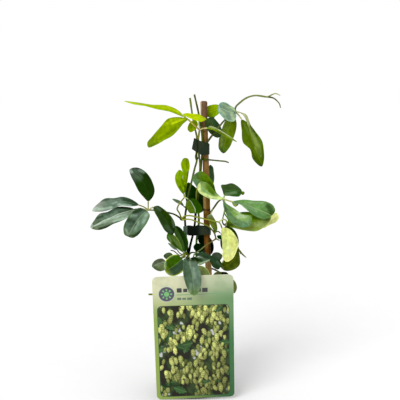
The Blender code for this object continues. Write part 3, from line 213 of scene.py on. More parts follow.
# Leaflets: stalk end, one side, tip, other side, as columns and rows; then millimetres of depth at
# the stalk end and at the tip, of bow half way, of lean (the first side goes back) and of cup (the
# midrib goes back), and where the midrib lies between the sides (-1 to 1, the first side at 1)
LEAFLETS = {
    "crown_leaflet_1": ((183.8, 117), ((181, 112.6), (176, 108.8), (168, 105.6), (150.6, 104.5),
        (137, 102.3)), (124.2, 101.1), ((178, 115), (170, 111.9), (157, 109.3), (144.5, 106), (133, 104.2)),
        -16.4, -12, 0, 8, 1, 0),
    "crown_leaflet_2": ((187.4, 119.5), ((182.3, 117.5), (175, 117.1), (168.4, 118.4), (161, 126.2),
        (152.2, 136.4), (147.2, 143.4)), (147.9, 147), ((182.8, 124.2), (178, 130.2), (171.6, 136.4),
        (164.4, 140.2), (156.4, 144.8)), -14.5, -30, -3, 4, 1.5, 0),
    "crown_leaflet_3": ((183.4, 114.1), ((186.4, 113), (191.9, 113.7), (198.5, 114.2), (203.5, 116.8)),
        (206.4, 118.9), ((187.4, 117.2), (194.4, 119.9), (201.2, 121.8)), -17.2, -11, 0, 4, 0.5, 0),
    "crown_leaflet_4": ((196.2, 120.9), ((191, 121.5), (188, 126), (187.8, 130)), (190.7, 132.3),
        ((197.9, 123.4), (197.3, 127), (194.6, 130.3)), -6.2, -6.6, 0, 0.3, 0.2, 0),
    "crown_leaflet_5": ((207.4, 128.2), ((209.6, 126), (215, 127.2), (223, 131.8), (230, 136.3)),
        (237.2, 142.1), ((212.5, 129.8), (221.5, 134.7), (229.5, 138.8)), -10, -21, 0, 6, 1, 0),
    "tendril_leaflet_1": ((235.6, 111), ((234.4, 108), (230.5, 105.6), (226, 102.5), (221.2, 102.2)),
        (217.7, 107.8), ((236.2, 117.6), (234.4, 121.2), (229.8, 121.4), (222, 116.8)), -6.8, -11, -1, 2, 2,
        0.2),
    "tendril_leaflet_2": ((222.5, 108.3), ((218.3, 104.8), (212, 104.7), (206.5, 107)), (204.4, 111.5),
        ((219, 113.6), (213, 117.4), (207, 116.5)), 3.2, 6.6, 0, 0.5, 0.5, 0),
    "tendril_leaflet_3": ((212.3, 117.2), ((217.2, 121.4), (221.3, 128), (222, 133.6)), (218.6, 137.6),
        ((206.8, 119), (206, 125.4), (210.5, 133.8)), -4.2, -0.8, 0, 3.2, 0.6, 0),
    "tendril_leaflet_4": ((234, 116), ((236.5, 122), (236.2, 129), (233.2, 138.8), (229.3, 147.8)),
        (223.3, 153.4), ((226, 120), (221.8, 129), (218.8, 140.6), (219, 149)), -0.5, 4, 1.5, 1, 1, 0),
    "tendril_leaflet_5": ((239.9, 112.5), ((244.8, 113.5), (250.6, 124.4), (254.4, 133.6), (261.2, 147.6)),
        (259.8, 156.8), ((242.8, 115), (247.8, 125.2), (250.4, 134), (254.8, 149)), -3, -11, -2, 4, 1, 0),
    "tendril_leaflet_6": ((241.6, 119.5), ((249.8, 124.4), (255.6, 131.6), (262.4, 141.7), (263.8, 150),
        (264, 160)), (262.2, 166.3), ((241.7, 131), (243, 142.5), (250.5, 150), (252.6, 158.8)), 1, 4, 1,
        0.5, 1.5, 0),
    "right_leaflet_1": ((222, 198.5), ((216.2, 192.2), (214, 184.6), (208.2, 176), (200.5, 171.1),
        (194.2, 174.8)), (192.1, 179), ((213.4, 198.8), (206.6, 196.6), (200.6, 192.4), (197, 187.6),
        (194.4, 183.6)), -11, -17, -1, 1, 4, -0.1),
    "right_leaflet_2": ((224.4, 195.4), ((222.4, 190.5), (221.2, 184.9), (225.4, 184.5), (231.6, 183.2),
        (237, 185.6)), (242, 191.8), ((229, 195.9), (234.5, 196.6), (239.2, 196.4)), -7, -2, 0, 5, 1, 0),
    "right_leaflet_3": ((223.3, 201.4), ((228, 204.6), (234.5, 208.6), (243.5, 214.7), (251.2, 216)),
        (249.6, 225.6), ((223.3, 206), (226, 213.6), (230.6, 221.9), (240, 227.2)), -10, -17, -1, 4, 1.5,
        0),
    "right_leaflet_4": ((233, 201.8), ((243, 199.6), (254, 200.6), (266, 201.5), (273.4, 205.6),
        (275.2, 211)), (271.6, 215.6), ((239.1, 204), (246.8, 210), (256, 216.5), (265, 219)), -10.5, -17,
        -2, 3, 2, -0.35),
    "right_leaflet_5": ((224.4, 225.2), ((229, 219.5), (239.1, 212.6), (250.6, 211.8), (262, 212.6)),
        (271, 217), ((231.5, 227.4), (239, 229.4), (247.5, 230.9), (256.5, 231.2), (264.5, 226.6)), -2.6,
        -3, -1, 4, 1, 0),
    "right_leaflet_6": ((258, 222.2), ((266, 217), (272, 214.2), (276.8, 212.8)), (278.8, 217.8),
        ((263, 228), (270, 224.8), (277.2, 220.9)), 3, 2, 0, 1, 0.5, 0),
    "drooping_leaflet_1": ((221.8, 227.9), ((228, 228.4), (235, 234.8), (238.6, 242.6), (236.6, 251),
        (232, 259.4)), (226.4, 261.9), ((221.3, 232), (222, 241), (222.6, 250), (223, 258)), -13, -19, -2,
        1, 2, -0.2),
    "drooping_leaflet_2": ((237.6, 249.6), ((239.8, 257), (239.6, 264.8), (231, 270.6), (224.5, 270.5)),
        (221, 267.4), ((231, 252.5), (226, 257), (221.8, 262.6)), -5, -9, 0, 0.5, 1, 0),
    "drooping_leaflet_3": ((226.2, 225.9), ((233.2, 228.7), (237.8, 236), (238.2, 246)), (229, 252.5),
        ((221.8, 231.5), (220.2, 240), (222, 249)), -5, -8, 0, 0.5, 1, 0),
    "drooping_leaflet_4": ((210.9, 214.1), ((214.2, 218.2), (217, 224.8), (217.2, 230)), (215.6, 233),
        ((206.9, 216.4), (208.6, 221.5), (212.6, 228.6)), -5, -7.8, 0, 0.3, 0.3, 0),
    "left_leaflet_1": ((148.2, 201.3), ((152.7, 197.2), (154.7, 190.8), (153.3, 184.4), (150, 177.2),
        (143.8, 170.4), (136, 167.4)), (129.6, 169.4), ((143.8, 197.4), (138, 190.2), (134.4, 182.8),
        (131, 176.2)), -12, -6, -2, 0, 2, 0),
    "left_leaflet_2": ((138.6, 205), ((131, 199), (122.1, 196.7), (114.5, 198), (105, 198.4), (98.6, 203)),
        (92.2, 210.8), ((131, 206.4), (120.8, 205.8), (111.5, 209.3), (101, 211.8)), -13, -19, -2, 5, 1.5,
        0),
    "left_leaflet_3": ((134, 209.4), ((124.8, 206.6), (117, 207), (107.4, 211.8), (99.4, 213.8),
        (94.4, 220)), (90.6, 227.8), ((128.8, 216.6), (121.5, 220.9), (113.2, 224), (105.5, 228.3),
        (96.4, 230)), -16, -25, -2, 4.5, 1.5, 0),
    "left_leaflet_4": ((146.8, 210.8), ((149.7, 214.6), (147.6, 221.6), (142.5, 229.3), (137.2, 235.8),
        (131.8, 238)), (128.4, 236.4), ((139.3, 207.8), (132.8, 211.3), (127, 218.8), (123.4, 228.2),
        (124.9, 235.2)), -15, -28, -3, 0, 2, 0),
    "left_leaflet_5": ((153.3, 207.2), ((157.5, 205.6), (163.2, 208.6), (169, 213.8), (173.9, 220.5),
        (175.4, 229.6)), (172.4, 234.8), ((154.3, 211.5), (157.8, 218), (161.4, 225), (166, 231.8)), -13,
        -20, -1, 1, 1.5, 0),
    "inner_leaflet_1": ((185, 194.2), ((187.3, 182), (188.5, 174), (189.6, 164), (187.6, 158.4)),
        (184.2, 158), ((183.6, 186), (182.5, 172), (181.1, 162.6)), -7, -5, 0, 3, 0.6, 0),
    "inner_leaflet_2": ((183.9, 194.3), ((184.2, 187), (182.8, 178), (181.9, 171)), (179.6, 169.8),
        ((178.4, 188.3), (175.7, 182.5), (175, 177), (176.6, 172.4)), -10, -12, -1, 1.5, 1, 0),
    "inner_leaflet_3": ((202.2, 212), ((204.2, 203), (202.8, 194.6), (195.8, 187.6)), (188, 182.4),
        ((195, 213), (187.6, 205), (185.3, 192)), 3.6, 2.6, 0, 0, 0.3, 0),
    "inner_leaflet_4": ((188, 199.2), ((194.6, 198.8), (199.8, 203.3), (202.4, 208.4), (200.4, 212.8),
        (196.6, 213.4)), (193.6, 211.4), ((186.2, 204), (187.3, 209.6), (190.6, 213.4)), -9, -9, 0, 1, 1,
        0),
    "inner_leaflet_5": ((184, 206.7), ((182.3, 202.6), (178.7, 200.1)), (172.2, 199), ((180.4, 204.6),
        (175.6, 202.2)), -1.6, 3, 0, 3, 0.5, 0),
    "lower_leaflet_1": ((184.9, 252), ((187.9, 247.5), (188.4, 242.8), (186.8, 237), (183.4, 231.2),
        (179.6, 227.2)), (175.9, 225.8), ((180, 246.2), (176.2, 238), (173.9, 231.6), (173.3, 227.6)), -9.8,
        -7.5, 0, 0.5, 1.5, 0),
    "lower_leaflet_2": ((183.4, 252.3), ((181.4, 246), (177.9, 239), (173.2, 234.4)), (168.2, 232.7),
        ((177.4, 248.9), (170.5, 243.2), (166.5, 237.4)), -12.2, -17, -1, 0.5, 1, 0),
    "lower_leaflet_3": ((177.4, 250), ((175.5, 247.2), (172, 244.3)), (168, 242.9), ((174, 249.3),
        (170.4, 246.3)), -7.6, -4, 0, 3, 0.3, 0),
    "lower_leaflet_4": ((180.6, 258.4), ((178.7, 255.2), (173.4, 254.9), (167.7, 258), (164.2, 264)),
        (164.7, 269.8), ((184.6, 262), (184.4, 269), (178.6, 274.5), (171.6, 276.1), (166.6, 273.4)), -25,
        -35, -2, 1.5, 2, 0),
    "lower_leaflet_5": ((190.2, 259.8), ((194.6, 260.8), (198.4, 266), (200.8, 273), (201.4, 280),
        (200.6, 287), (198.4, 292.6)), (194.4, 295.5), ((184.4, 258.4), (182.9, 267), (183.4, 275.5),
        (185.3, 283.2), (187.9, 289.6), (190.8, 294)), -34, -60, -8, 0, 2, 0),
    "lower_leaflet_6": ((195.6, 254.6), ((201.8, 252), (210.2, 255.1), (217.9, 258.3)), (221.8, 264.2),
        ((203, 258), (209.6, 261), (213, 267.2), (218.2, 269.5)), -14, -19, 0, 1, 1, 0),
    "lower_leaflet_7": ((193.6, 257.4), ((199.5, 256.9), (205.5, 258.4)), (210.4, 259.5), ((195.4, 262.6),
        (199.6, 265.1), (205.2, 262.9)), -17.5, -21.5, 0, 1, 1, 0),
    "lower_leaflet_8": ((211.6, 257), ((212.4, 253.8), (217.4, 252.2)), (222.4, 255.4), ((213.6, 261),
        (219.4, 260.9)), -3.8, -8, 0, 1, 0.5, 0),
    "lower_leaflet_9": ((196.8, 266), ((203.5, 266.4), (208.2, 270.6), (210.6, 277)), (209.5, 283),
        ((197.4, 271), (199.5, 278), (204.5, 283.5)), -20, -32, 0, 1, 1, 0),
    "lower_leaflet_10": ((166.4, 262.7), ((162.5, 258.6), (157, 259.3), (153.2, 262.2)), (151.9, 266),
        ((165, 269.6), (160.6, 271.3), (155, 269.4)), -19, -23, 0, 1, 0.8, 0),
    "lower_leaflet_11": ((173.4, 257.4), ((171, 252.9), (166.4, 253)), (163.6, 255.8), ((170.6, 259.6),
        (166.2, 259.2)), -16.5, -20, 0, 1, 0.5, 0),
    "back_leaflet_1": ((213, 184), ((214.3, 179), (213.9, 172.4), (212.4, 166.2)), (210.3, 164.8),
        ((209.5, 180), (208, 172), (208.6, 166.6)), 7, 8.6, 0, 0, 0.5, 0),
    "back_leaflet_2": ((203.4, 250.2), ((200.8, 244.4), (196.4, 243.3)), (193.5, 246.4), ((200.4, 252.6),
        (195.8, 251.4)), -4.4, -4.6, 0, 0.5, 0.5, 0),
    "back_leaflet_3": ((207.4, 235.6), ((212, 240.2), (213.8, 246.4), (212.3, 253)), (208, 256),
        ((197.4, 236), (199.5, 244), (203.6, 252.6)), 8.8, 8.8, 0, 0, 0.5, 0),
    "back_leaflet_4": ((221.8, 273.6), ((226, 272), (229.2, 275), (228.6, 284)), (221, 291),
        ((216.6, 271.8), (213, 275), (213.6, 284)), -23, -31, 0, 0.5, 1, 0),
    "back_leaflet_5": ((227, 276.4), ((232.4, 278.6), (236.2, 283.6), (236.9, 288.8)), (234.4, 293.2),
        ((225.6, 281.4), (227, 288), (230.4, 292.6)), -14.5, -22, 0, 0.5, 1, 0),
    "back_leaflet_6": ((199.4, 280.8), ((190, 278.5), (178, 279.5)), (169, 284.5), ((191, 287.5),
        (178, 289)), 16, 30, 0, 8, 1, 0),
    "back_leaflet_7": ((211.6, 281.4), ((219, 278.6), (228, 281)), (231, 286.5), ((215, 288.5),
        (224.5, 290.5)), 17, 38, 0, 8, 1, 0),
}

# Stems: each tube's radii in millimetres at both ends, its route as column, row and depth, and the
# leaflet that it ends at, if any. The first tube of a stem carries the others.
STEMS = {
    "stem_left": (
        (0.8, 1.2, ((190, 98, -1), (192.2, 113.8, -2), (194.9, 128, -2), (197, 138.7, -2.2),
            (196.9, 147, -2.4), (196.4, 155, -3), (196.8, 160, -3.4), (194.8, 168, -4), (191.5, 182, -4.5),
            (188.3, 194.6, -5), (186.4, 207.4, -5), (185, 217.6, -4.6), (185.3, 226, -3.6),
            (185.9, 236, -3.6), (187.2, 247, -2), (188, 258, -1), (189, 275, -2), (191.5, 300, -3),
            (192.5, 322.4, -4)), None),
        (1.6, 1.2, ((184.9, 218.4, -4.7), (182.6, 219.4, -5), (180.2, 219, -5.4)), None),
        (0.8, 0.6, ((181.5, 219, -5.2), (174.4, 214.4, -6.5), (168.6, 212.8, -8), (160, 211.2, -9.5),
            (153.3, 210.2, -11), (148, 210, -12)), None),
        (0.55, 0.5, ((148.2, 210, -12), (148.2, 205, -12.3)), "left_leaflet_1"),
        (0.55, 0.5, ((148.2, 210, -12), (143.8, 206.9, -12.5)), "left_leaflet_2"),
        (0.55, 0.5, ((148.2, 210, -12), (141, 208.8, -12.8)), "left_leaflet_3"),
        (0.55, 0.5, ((148.4, 210, -12), (148, 210.2, -13.2)), "left_leaflet_4"),
        (0.55, 0.5, ((148.2, 210, -12), (150.8, 208.2, -12.4)), "left_leaflet_5"),
        (0.7, 0.6, ((181.6, 218.8, -5.3), (179.3, 213, -6.5), (177.1, 209, -7.5), (178.4, 205.5, -8),
            (182.2, 200, -8.2), (184.6, 197.2, -8.2)), None),
        (0.55, 0.45, ((184.4, 197.5, -8.2), (184.9, 195.6, -7.5)), "inner_leaflet_1"),
        (0.55, 0.45, ((184.4, 197.5, -8.2), (184, 195.8, -9.4)), "inner_leaflet_2"),
        (0.55, 0.45, ((184.2, 197.4, -8.2), (186.6, 198, -8.9)), "inner_leaflet_4"),
        (0.55, 0.45, ((186.4, 207.3, -5), (185.3, 207.2, -3)), "inner_leaflet_5"),
        (0.65, 0.6, ((181.8, 218.6, -5.6), (184.5, 216.2, -7.6), (189.6, 215.6, -8), (195.9, 216.9, -8.6),
            (203, 218.5, -8.8), (208.7, 219.8, -9), (215.1, 221.4, -10.5), (218.9, 222, -11.5)), None),
        (0.55, 0.5, ((218.7, 222, -11.4), (222.4, 219.6, -10.5), (226, 220.2, -7.5)), "drooping_leaflet_3"),
        (0.55, 0.5, ((218.7, 222, -11.4), (220.5, 224.2, -12)), "drooping_leaflet_1"),
        (0.65, 0.6, ((182, 219.8, -6), (187, 219.2, -7.6), (192.8, 220.1, -8.4), (198.5, 222.3, -9.2),
            (203.9, 224.2, -9.9), (208.7, 226.5, -9.9), (211.9, 229.7, -9.6), (214.4, 233.2, -9.6),
            (215.9, 238.8, -10)), None),
        (0.55, 0.45, ((215.8, 238.4, -10), (217.6, 239.6, -10.2), (219.6, 240.3, -10.5)), None),
        (0.6, 0.55, ((215.9, 238.8, -10), (211.9, 241.5, -10.2), (205.5, 245.6, -10.6),
            (200.5, 249.8, -11.6), (195.8, 253, -13), (194.2, 254.6, -13.8)), None),
        (0.5, 0.45, ((194.8, 254, -13.5), (195.2, 254.3, -13.8)), "lower_leaflet_6"),
        (0.5, 0.45, ((194.4, 254.4, -13.7), (193.6, 256, -15.4)), "lower_leaflet_7"),
        (0.5, 0.45, ((214.4, 233, -9.6), (217.8, 231.3, -10.5), (220.6, 233.3, -10.5)), None),
        (0.9, 0.8, ((189.3, 280, -2.2), (175, 290, -12), (160, 294, -22), (148.6, 294.4, -28)), None),
    ),
    "stem_front": (
        (0.85, 1.25, ((194.4, 94.6, -3.5), (198.7, 113.8, -4.5), (201.1, 126.9, -5), (202.3, 139.6, -5),
            (202.4, 147, -4.7), (202, 155, -4.7), (201.2, 165, -4.6), (200.6, 172, -4.4),
            (198.5, 194.6, -4), (195.6, 213.8, -3.5), (194.6, 225.3, -3.5), (193.6, 231, -3.5),
            (192.6, 236, -3.6), (190.8, 243, -5), (189.4, 249.5, -6), (188.4, 256, -6.5), (189.2, 268, -6),
            (192, 290, -6.2), (195.5, 322.4, -7.4)), None),
        (0.9, 0.75, ((202.2, 150.5, -4.9), (204.6, 146.8, -5), (206.5, 143.4, -5), (213.4, 133.9, -5),
            (219.1, 126.7, -4.2), (224.2, 120.6, -3.2), (230, 115.5, -2.6), (235, 110.8, -2),
            (235.4, 107.8, -2.5), (240.5, 102.2, -4), (245.8, 98.3, -5), (251.1, 96.2, -6),
            (256.3, 95.5, -7), (261.6, 96.1, -8), (266.8, 96.9, -8.7), (269.3, 96.9, -9)), None),
        (0.55, 0.4, ((268.2, 96.9, -8.9), (272.1, 94.6, -9.5), (275.6, 93.5, -10), (280.2, 95.5, -10.5)),
            None),
        (0.6, 0.4, ((268.6, 96.9, -8.9), (273.9, 98.3, -9.3), (277, 100.8, -9.3), (279.5, 103.9, -9),
            (280.5, 107.8, -8.5)), None),
        (0.55, 0.5, ((234.9, 111.2, -2), (235.6, 111.2, -4)), "tendril_leaflet_1"),
        (0.6, 0.5, ((234.6, 111.4, -2), (230, 110, 1), (225, 108.7, 2.8)), "tendril_leaflet_2"),
        (0.6, 0.45, ((230.4, 110.2, 0.8), (226, 111, 6), (221, 112, 8.6), (215.5, 114.8, 9.6),
            (213.2, 118.6, 4.5), (212.4, 118.2, 0)), "tendril_leaflet_3"),
        (0.55, 0.5, ((234.6, 111.4, -2), (234.4, 113.6, -1.2)), "tendril_leaflet_4"),
        (0.55, 0.5, ((234.8, 111.4, -2), (238.2, 112, -2.5)), "tendril_leaflet_5"),
        (0.55, 0.5, ((234.8, 111.4, -2), (238.4, 114.8, -1.3), (240.6, 117.8, 0.4)), "tendril_leaflet_6"),
        (0.8, 0.6, ((201.8, 159.2, -4.7), (205.5, 159.6, -5.3), (209.6, 159.9, -5), (219, 160.8, -5),
            (227, 161.9, -5.6), (228.8, 162.7, -6)), None),
        (1, 0.7, ((188.6, 255, -6.5), (186.6, 254, -8.4), (185, 253.2, -9.8)), None),
        (0.9, 0.5, ((188.8, 254.4, -6.5), (191.5, 252.6, -7.6), (195.4, 252.6, -9.6)), None),
        (0.55, 0.45, ((185.6, 253.5, -9.4), (185, 252.9, -9.6)), "lower_leaflet_1"),
        (0.55, 0.45, ((185.4, 253.4, -9.4), (183.8, 253, -11.4)), "lower_leaflet_2"),
        (0.5, 0.45, ((185.8, 253.7, -9.2), (181, 254, -8.6), (178.6, 252, -8)), "lower_leaflet_3"),
        (0.5, 0.4, ((184.6, 254, -9.6), (179.4, 255.4, -10.6), (176.6, 253.2, -11), (174.1, 251.2, -11.5),
            (170.6, 250.2, -12)), None),
        (0.65, 0.5, ((185.6, 253.6, -9.4), (184.6, 256.5, -17), (182, 258.2, -23)), "lower_leaflet_4"),
        (0.65, 0.5, ((186, 253.8, -9.2), (187.4, 255.4, -19), (189.6, 257.8, -29)), "lower_leaflet_5"),
        (0.55, 0.45, ((188.9, 265.4, -6), (193, 265.3, -14)), "lower_leaflet_9"),
        (0.55, 0.45, ((186, 254, -9), (181, 257.5, -13), (173.6, 260.8, -16)), "lower_leaflet_10"),
        (0.5, 0.45, ((177.6, 259.3, -14.6), (175.6, 258.2, -15.4)), "lower_leaflet_11"),
    ),
    "stem_pale": (
        (0.8, 1.15, ((199.6, 129.6, -7.2), (198.8, 135, -4.6), (198.3, 139.5, -2.6), (199.2, 147, -0.9),
            (199.2, 155, -0.9), (199.8, 163, -0.9), (199.9, 170.4, -0.8), (198.5, 182, -0.5),
            (196.6, 194.6, -0.5), (197.2, 205, -0.5), (198.6, 214, -0.5), (198.8, 222, -0.8),
            (198, 231, -0.8), (196.6, 240, 0), (196.5, 256, 1), (197, 280, 1), (199.5, 322.4, 1)), None),
        (0.7, 0.65, ((199.6, 130, -7), (195, 126, -9.6), (189.5, 120.8, -12.4), (184.9, 117.1, -14.6)),
            None),
        (0.5, 0.45, ((185.2, 117.3, -14.5), (184.6, 117.2, -15.3)), "crown_leaflet_1"),
        (0.5, 0.45, ((189.4, 120.5, -12.4), (188.4, 120, -13.4)), "crown_leaflet_2"),
        (0.5, 0.45, ((185.2, 117.3, -14.5), (184.2, 115.4, -16)), "crown_leaflet_3"),
        (0.5, 0.45, ((191.6, 122.7, -11.3), (193.6, 120.2, -9.2)), "crown_leaflet_4"),
        (0.6, 0.5, ((199.4, 130, -7), (203.2, 128.4, -8.7)), "crown_leaflet_5"),
        (0.6, 0.45, ((199.6, 130, -7), (199.1, 125, -6.6), (199, 118.5, -6.8)), None),
    ),
    "stem_back": (
        (0.8, 1.1, ((206.2, 158, 5.3), (206.6, 172, 5.3), (206.8, 190, 5.5), (207, 207, 5.6),
            (207.2, 222, 5.3), (207.6, 236, 5.2), (208, 250, 5.4), (208.6, 265, 5.8), (209.4, 285, 6.2),
            (209, 300, 7), (208.8, 322.4, 8.8)), None),
        (0.55, 0.45, ((206.8, 190, 5.5), (210, 188.6, 6.5)), "back_leaflet_1"),
        (0.9, 0.7, ((207, 214.8, 5.5), (209.4, 214, 5.2), (210.9, 211.9, 3.2), (214.5, 206.8, 0),
            (219.2, 200.8, -5), (223.4, 198.5, -8.2)), None),
        (0.6, 0.5, ((223, 198.7, -8), (222.4, 198.3, -9.6)), "right_leaflet_1"),
        (0.6, 0.5, ((223, 198.7, -8), (224, 197.2, -7.6)), "right_leaflet_2"),
        (0.6, 0.5, ((223, 198.7, -8), (223.3, 200, -9)), "right_leaflet_3"),
        (0.6, 0.5, ((223, 198.7, -8), (228, 200.6, -9)), "right_leaflet_4"),
        (0.7, 0.55, ((223, 198.7, -8), (224.9, 203, -5), (225, 208, -4), (224.2, 212.4, -4),
            (223, 217.5, -4), (222.6, 222.6, -3.5)), "right_leaflet_5"),
        (0.6, 0.5, ((225, 208, -4), (230, 213, 0), (237, 218.5, 2.6), (248, 221.6, 3.6)),
            "right_leaflet_6"),
        (0.55, 0.45, ((213, 208.8, 1.2), (211.9, 211.6, -2.6)), "drooping_leaflet_4"),
        (0.6, 0.5, ((224.1, 213, -4), (228, 219, 0), (231, 226, -0.6), (235, 236, -0.6),
            (236.6, 244, -2.4)), "drooping_leaflet_2"),
        (0.6, 0.45, ((236.4, 243, -2.2), (240.2, 252.2, -2.4), (246, 257.4, -4)), None),
        (0.6, 0.5, ((208.2, 256.5, 5.4), (212, 257.6, 3)), "lower_leaflet_8"),
        (0.6, 0.5, ((208, 251.4, 5.4), (205, 254, 3.8), (202.6, 253.6, -1)), "back_leaflet_2"),
        (0.55, 0.5, ((207.7, 237.3, 5.2), (207.5, 237.6, 7)), "back_leaflet_3"),
        (0.7, 0.55, ((208.7, 268, 5.8), (212.4, 268.8, 3.4), (215.6, 270, -6)), "back_leaflet_4"),
        (0.6, 0.5, ((215, 269.8, -4), (221, 273, -10)), "back_leaflet_5"),
        (0.7, 0.6, ((209.3, 283, 6.2), (206, 281.5, 14)), "back_leaflet_6"),
        (0.6, 0.5, ((207, 281.7, 12.4), (209.6, 281.4, 15)), "back_leaflet_7"),
    ),
}

# Leaflet colours as seen in soft daylight, 0 to 255: the first side, the other side, the tip, the
# midrib and the rim, then the stalk end if it differs. None takes the side's own colour. Most of
# them weren't chosen by hand: another program worked them out, round by round, from the mean
# colour of the photo over each part of each leaflet, and wrote them here.
# These colours hold painted light along with each leaflet's own colour: the two halves differ partly by how
# they face the light, the bluish grey of many left and lower leaflets is painted reflection and sheen, pale
# rims along folds are partly painted highlight, and the near-black leaflets behind are painted shade.
LEAF_COLOURS = {
    "crown_leaflet_1": ((156, 180, 10), (148, 178, 2), (176, 200, 50), (186, 200, 30), None),
    "crown_leaflet_2": ((124, 150, 2), (120, 146, 2), (98, 124, 18), None, None),
    "crown_leaflet_3": ((170, 194, 2), (184, 208, 10), (126, 148, 26), (194, 212, 40), None),
    "crown_leaflet_4": ((128, 156, 2), (134, 158, 2), None, None, None),
    "crown_leaflet_5": ((70, 102, 2), (116, 140, 2), (120, 150, 60), (172, 172, 116), None),
    "tendril_leaflet_1": ((128, 156, 124), (126, 156, 130), (102, 158, 164), (168, 188, 148),
        (150, 186, 160)),
    "tendril_leaflet_2": ((140, 170, 2), (132, 166, 2), None, None, None),
    "tendril_leaflet_3": ((50, 76, 44), (58, 84, 40), (40, 64, 20), (74, 100, 30), None),
    "tendril_leaflet_4": ((98, 124, 2), (100, 124, 30), (62, 96, 30), (118, 136, 26), None),
    "tendril_leaflet_5": ((122, 142, 66), (128, 148, 54), (88, 116, 24), (138, 152, 78), None,
        (134, 126, 86)),
    "tendril_leaflet_6": ((86, 116, 4), (86, 112, 4), (62, 88, 2), (100, 130, 4), None),
    "right_leaflet_1": ((88, 122, 4), (104, 140, 92), (96, 132, 84), (110, 140, 60), None),
    "right_scrap_3": ((84, 120, 22), (126, 162, 96), (140, 174, 96), (150, 180, 96), (222, 240, 156),
        (196, 222, 150)),
    "right_leaflet_2": ((54, 78, 34), (42, 82, 22), None, (76, 106, 56), None),
    "right_leaflet_3": ((122, 158, 72), (96, 130, 82), (92, 132, 98), (130, 160, 102), None, (96, 134, 90)),
    "right_leaflet_4": ((102, 144, 78), (94, 134, 78), (76, 114, 42), (148, 172, 116), None),
    "right_leaflet_5": ((108, 150, 2), (134, 154, 62), (170, 198, 104), (116, 144, 42), (150, 178, 92),
        (92, 122, 2)),
    "right_scrap_1": ((100, 122, 14), (84, 104, 10), (60, 80, 14), None, None),
    "right_scrap_2": ((178, 196, 154), (134, 152, 76), (60, 84, 20), None, None),
    "drooping_scrap_1": ((4, 50, 2), (2, 36, 2), None, None, None),
    "lower_scrap_1": ((14, 42, 6), (16, 36, 8), (20, 44, 12), None, None),
    "right_leaflet_6": ((244, 248, 160), (240, 244, 156), (238, 242, 140), (246, 248, 186), None),
    "drooping_leaflet_1": ((208, 216, 122), (204, 216, 126), (238, 238, 138), (208, 216, 142),
        (228, 240, 160)),
    "drooping_leaflet_2": ((86, 102, 22), (80, 96, 2), (40, 60, 2), (104, 122, 26), None),
    "drooping_leaflet_3": ((36, 60, 10), (30, 56, 10), (24, 60, 10), None, None),
    "drooping_leaflet_4": ((94, 110, 26), (98, 116, 28), (70, 112, 44), (124, 132, 62), None,
        (124, 134, 102)),
    "left_leaflet_1": ((22, 48, 2), (24, 54, 2), (26, 28, 22), (32, 62, 16), None),
    "left_leaflet_2": ((100, 120, 102), (98, 120, 100), (168, 168, 156), (118, 142, 120), None,
        (52, 88, 58)),
    "left_leaflet_3": ((102, 126, 104), (124, 142, 118), (72, 80, 50), (200, 212, 190), (58, 104, 40)),
    "left_leaflet_4": ((92, 118, 92), (80, 102, 82), (94, 114, 72), (128, 146, 120), (86, 128, 56)),
    "left_leaflet_5": ((30, 52, 2), (40, 64, 22), (2, 22, 2), (38, 70, 18), (66, 102, 14)),
    "inner_leaflet_1": ((142, 174, 2), (148, 186, 2), (116, 140, 2), (174, 200, 30), None),
    "inner_leaflet_2": ((118, 156, 2), (128, 166, 2), (126, 158, 8), (80, 114, 4), None),
    "inner_leaflet_3": ((18, 54, 2), (22, 60, 14), None, None, None),
    "inner_leaflet_4": ((38, 72, 2), (82, 108, 20), (57, 108, 3), (190, 208, 184), None),
    "inner_leaflet_5": ((84, 112, 78), (96, 114, 84), None, None, None),
    "lower_leaflet_1": ((20, 56, 2), (66, 98, 40), None, (52, 86, 20), (70, 110, 20)),
    "lower_leaflet_2": ((84, 110, 42), (56, 84, 10), (60, 120, 10), (86, 114, 24), (150, 190, 60),
        (79, 126, 47)),
    "lower_leaflet_3": ((104, 126, 104), (118, 140, 118), (104, 135, 114), None, None),
    "lower_leaflet_4": ((56, 96, 2), (56, 80, 56), (162, 182, 2), (96, 132, 44), (196, 220, 2)),
    "lower_leaflet_5": ((88, 110, 90), (74, 98, 74), (98, 124, 62), (114, 136, 108), None),
    "lower_leaflet_6": ((44, 70, 44), (40, 62, 38), (32, 64, 24), (48, 84, 46), None),
    "lower_leaflet_7": ((78, 100, 72), (90, 108, 64), None, (58, 94, 56), (136, 176, 130)),
    "lower_leaflet_8": ((66, 82, 62), (60, 76, 54), None, None, None),
    "lower_leaflet_9": ((118, 134, 74), (108, 124, 66), (140, 174, 90), None, (174, 204, 116)),
    "lower_leaflet_10": ((98, 106, 80), (104, 120, 78), (84, 108, 80), (156, 164, 130), None),
    "lower_leaflet_11": ((80, 100, 60), (76, 96, 64), (54, 81, 35), None, None),
    "back_leaflet_1": ((68, 96, 62), (70, 104, 64), (30, 63, 39), None, None),
    "back_leaflet_2": ((6, 26, 4), (4, 28, 2), None, None, None),
    "back_leaflet_3": ((8, 30, 8), (6, 36, 6), (10, 40, 12), None, None),
    "back_leaflet_4": ((6, 20, 2), (74, 82, 40), None, None, None),
    "back_leaflet_5": ((106, 118, 64), (74, 92, 40), None, None, None),
    "back_leaflet_6": ((34, 74, 22), (30, 66, 20), None, None, None),
    "back_leaflet_7": ((36, 78, 20), (32, 70, 18), None, None, None),
}
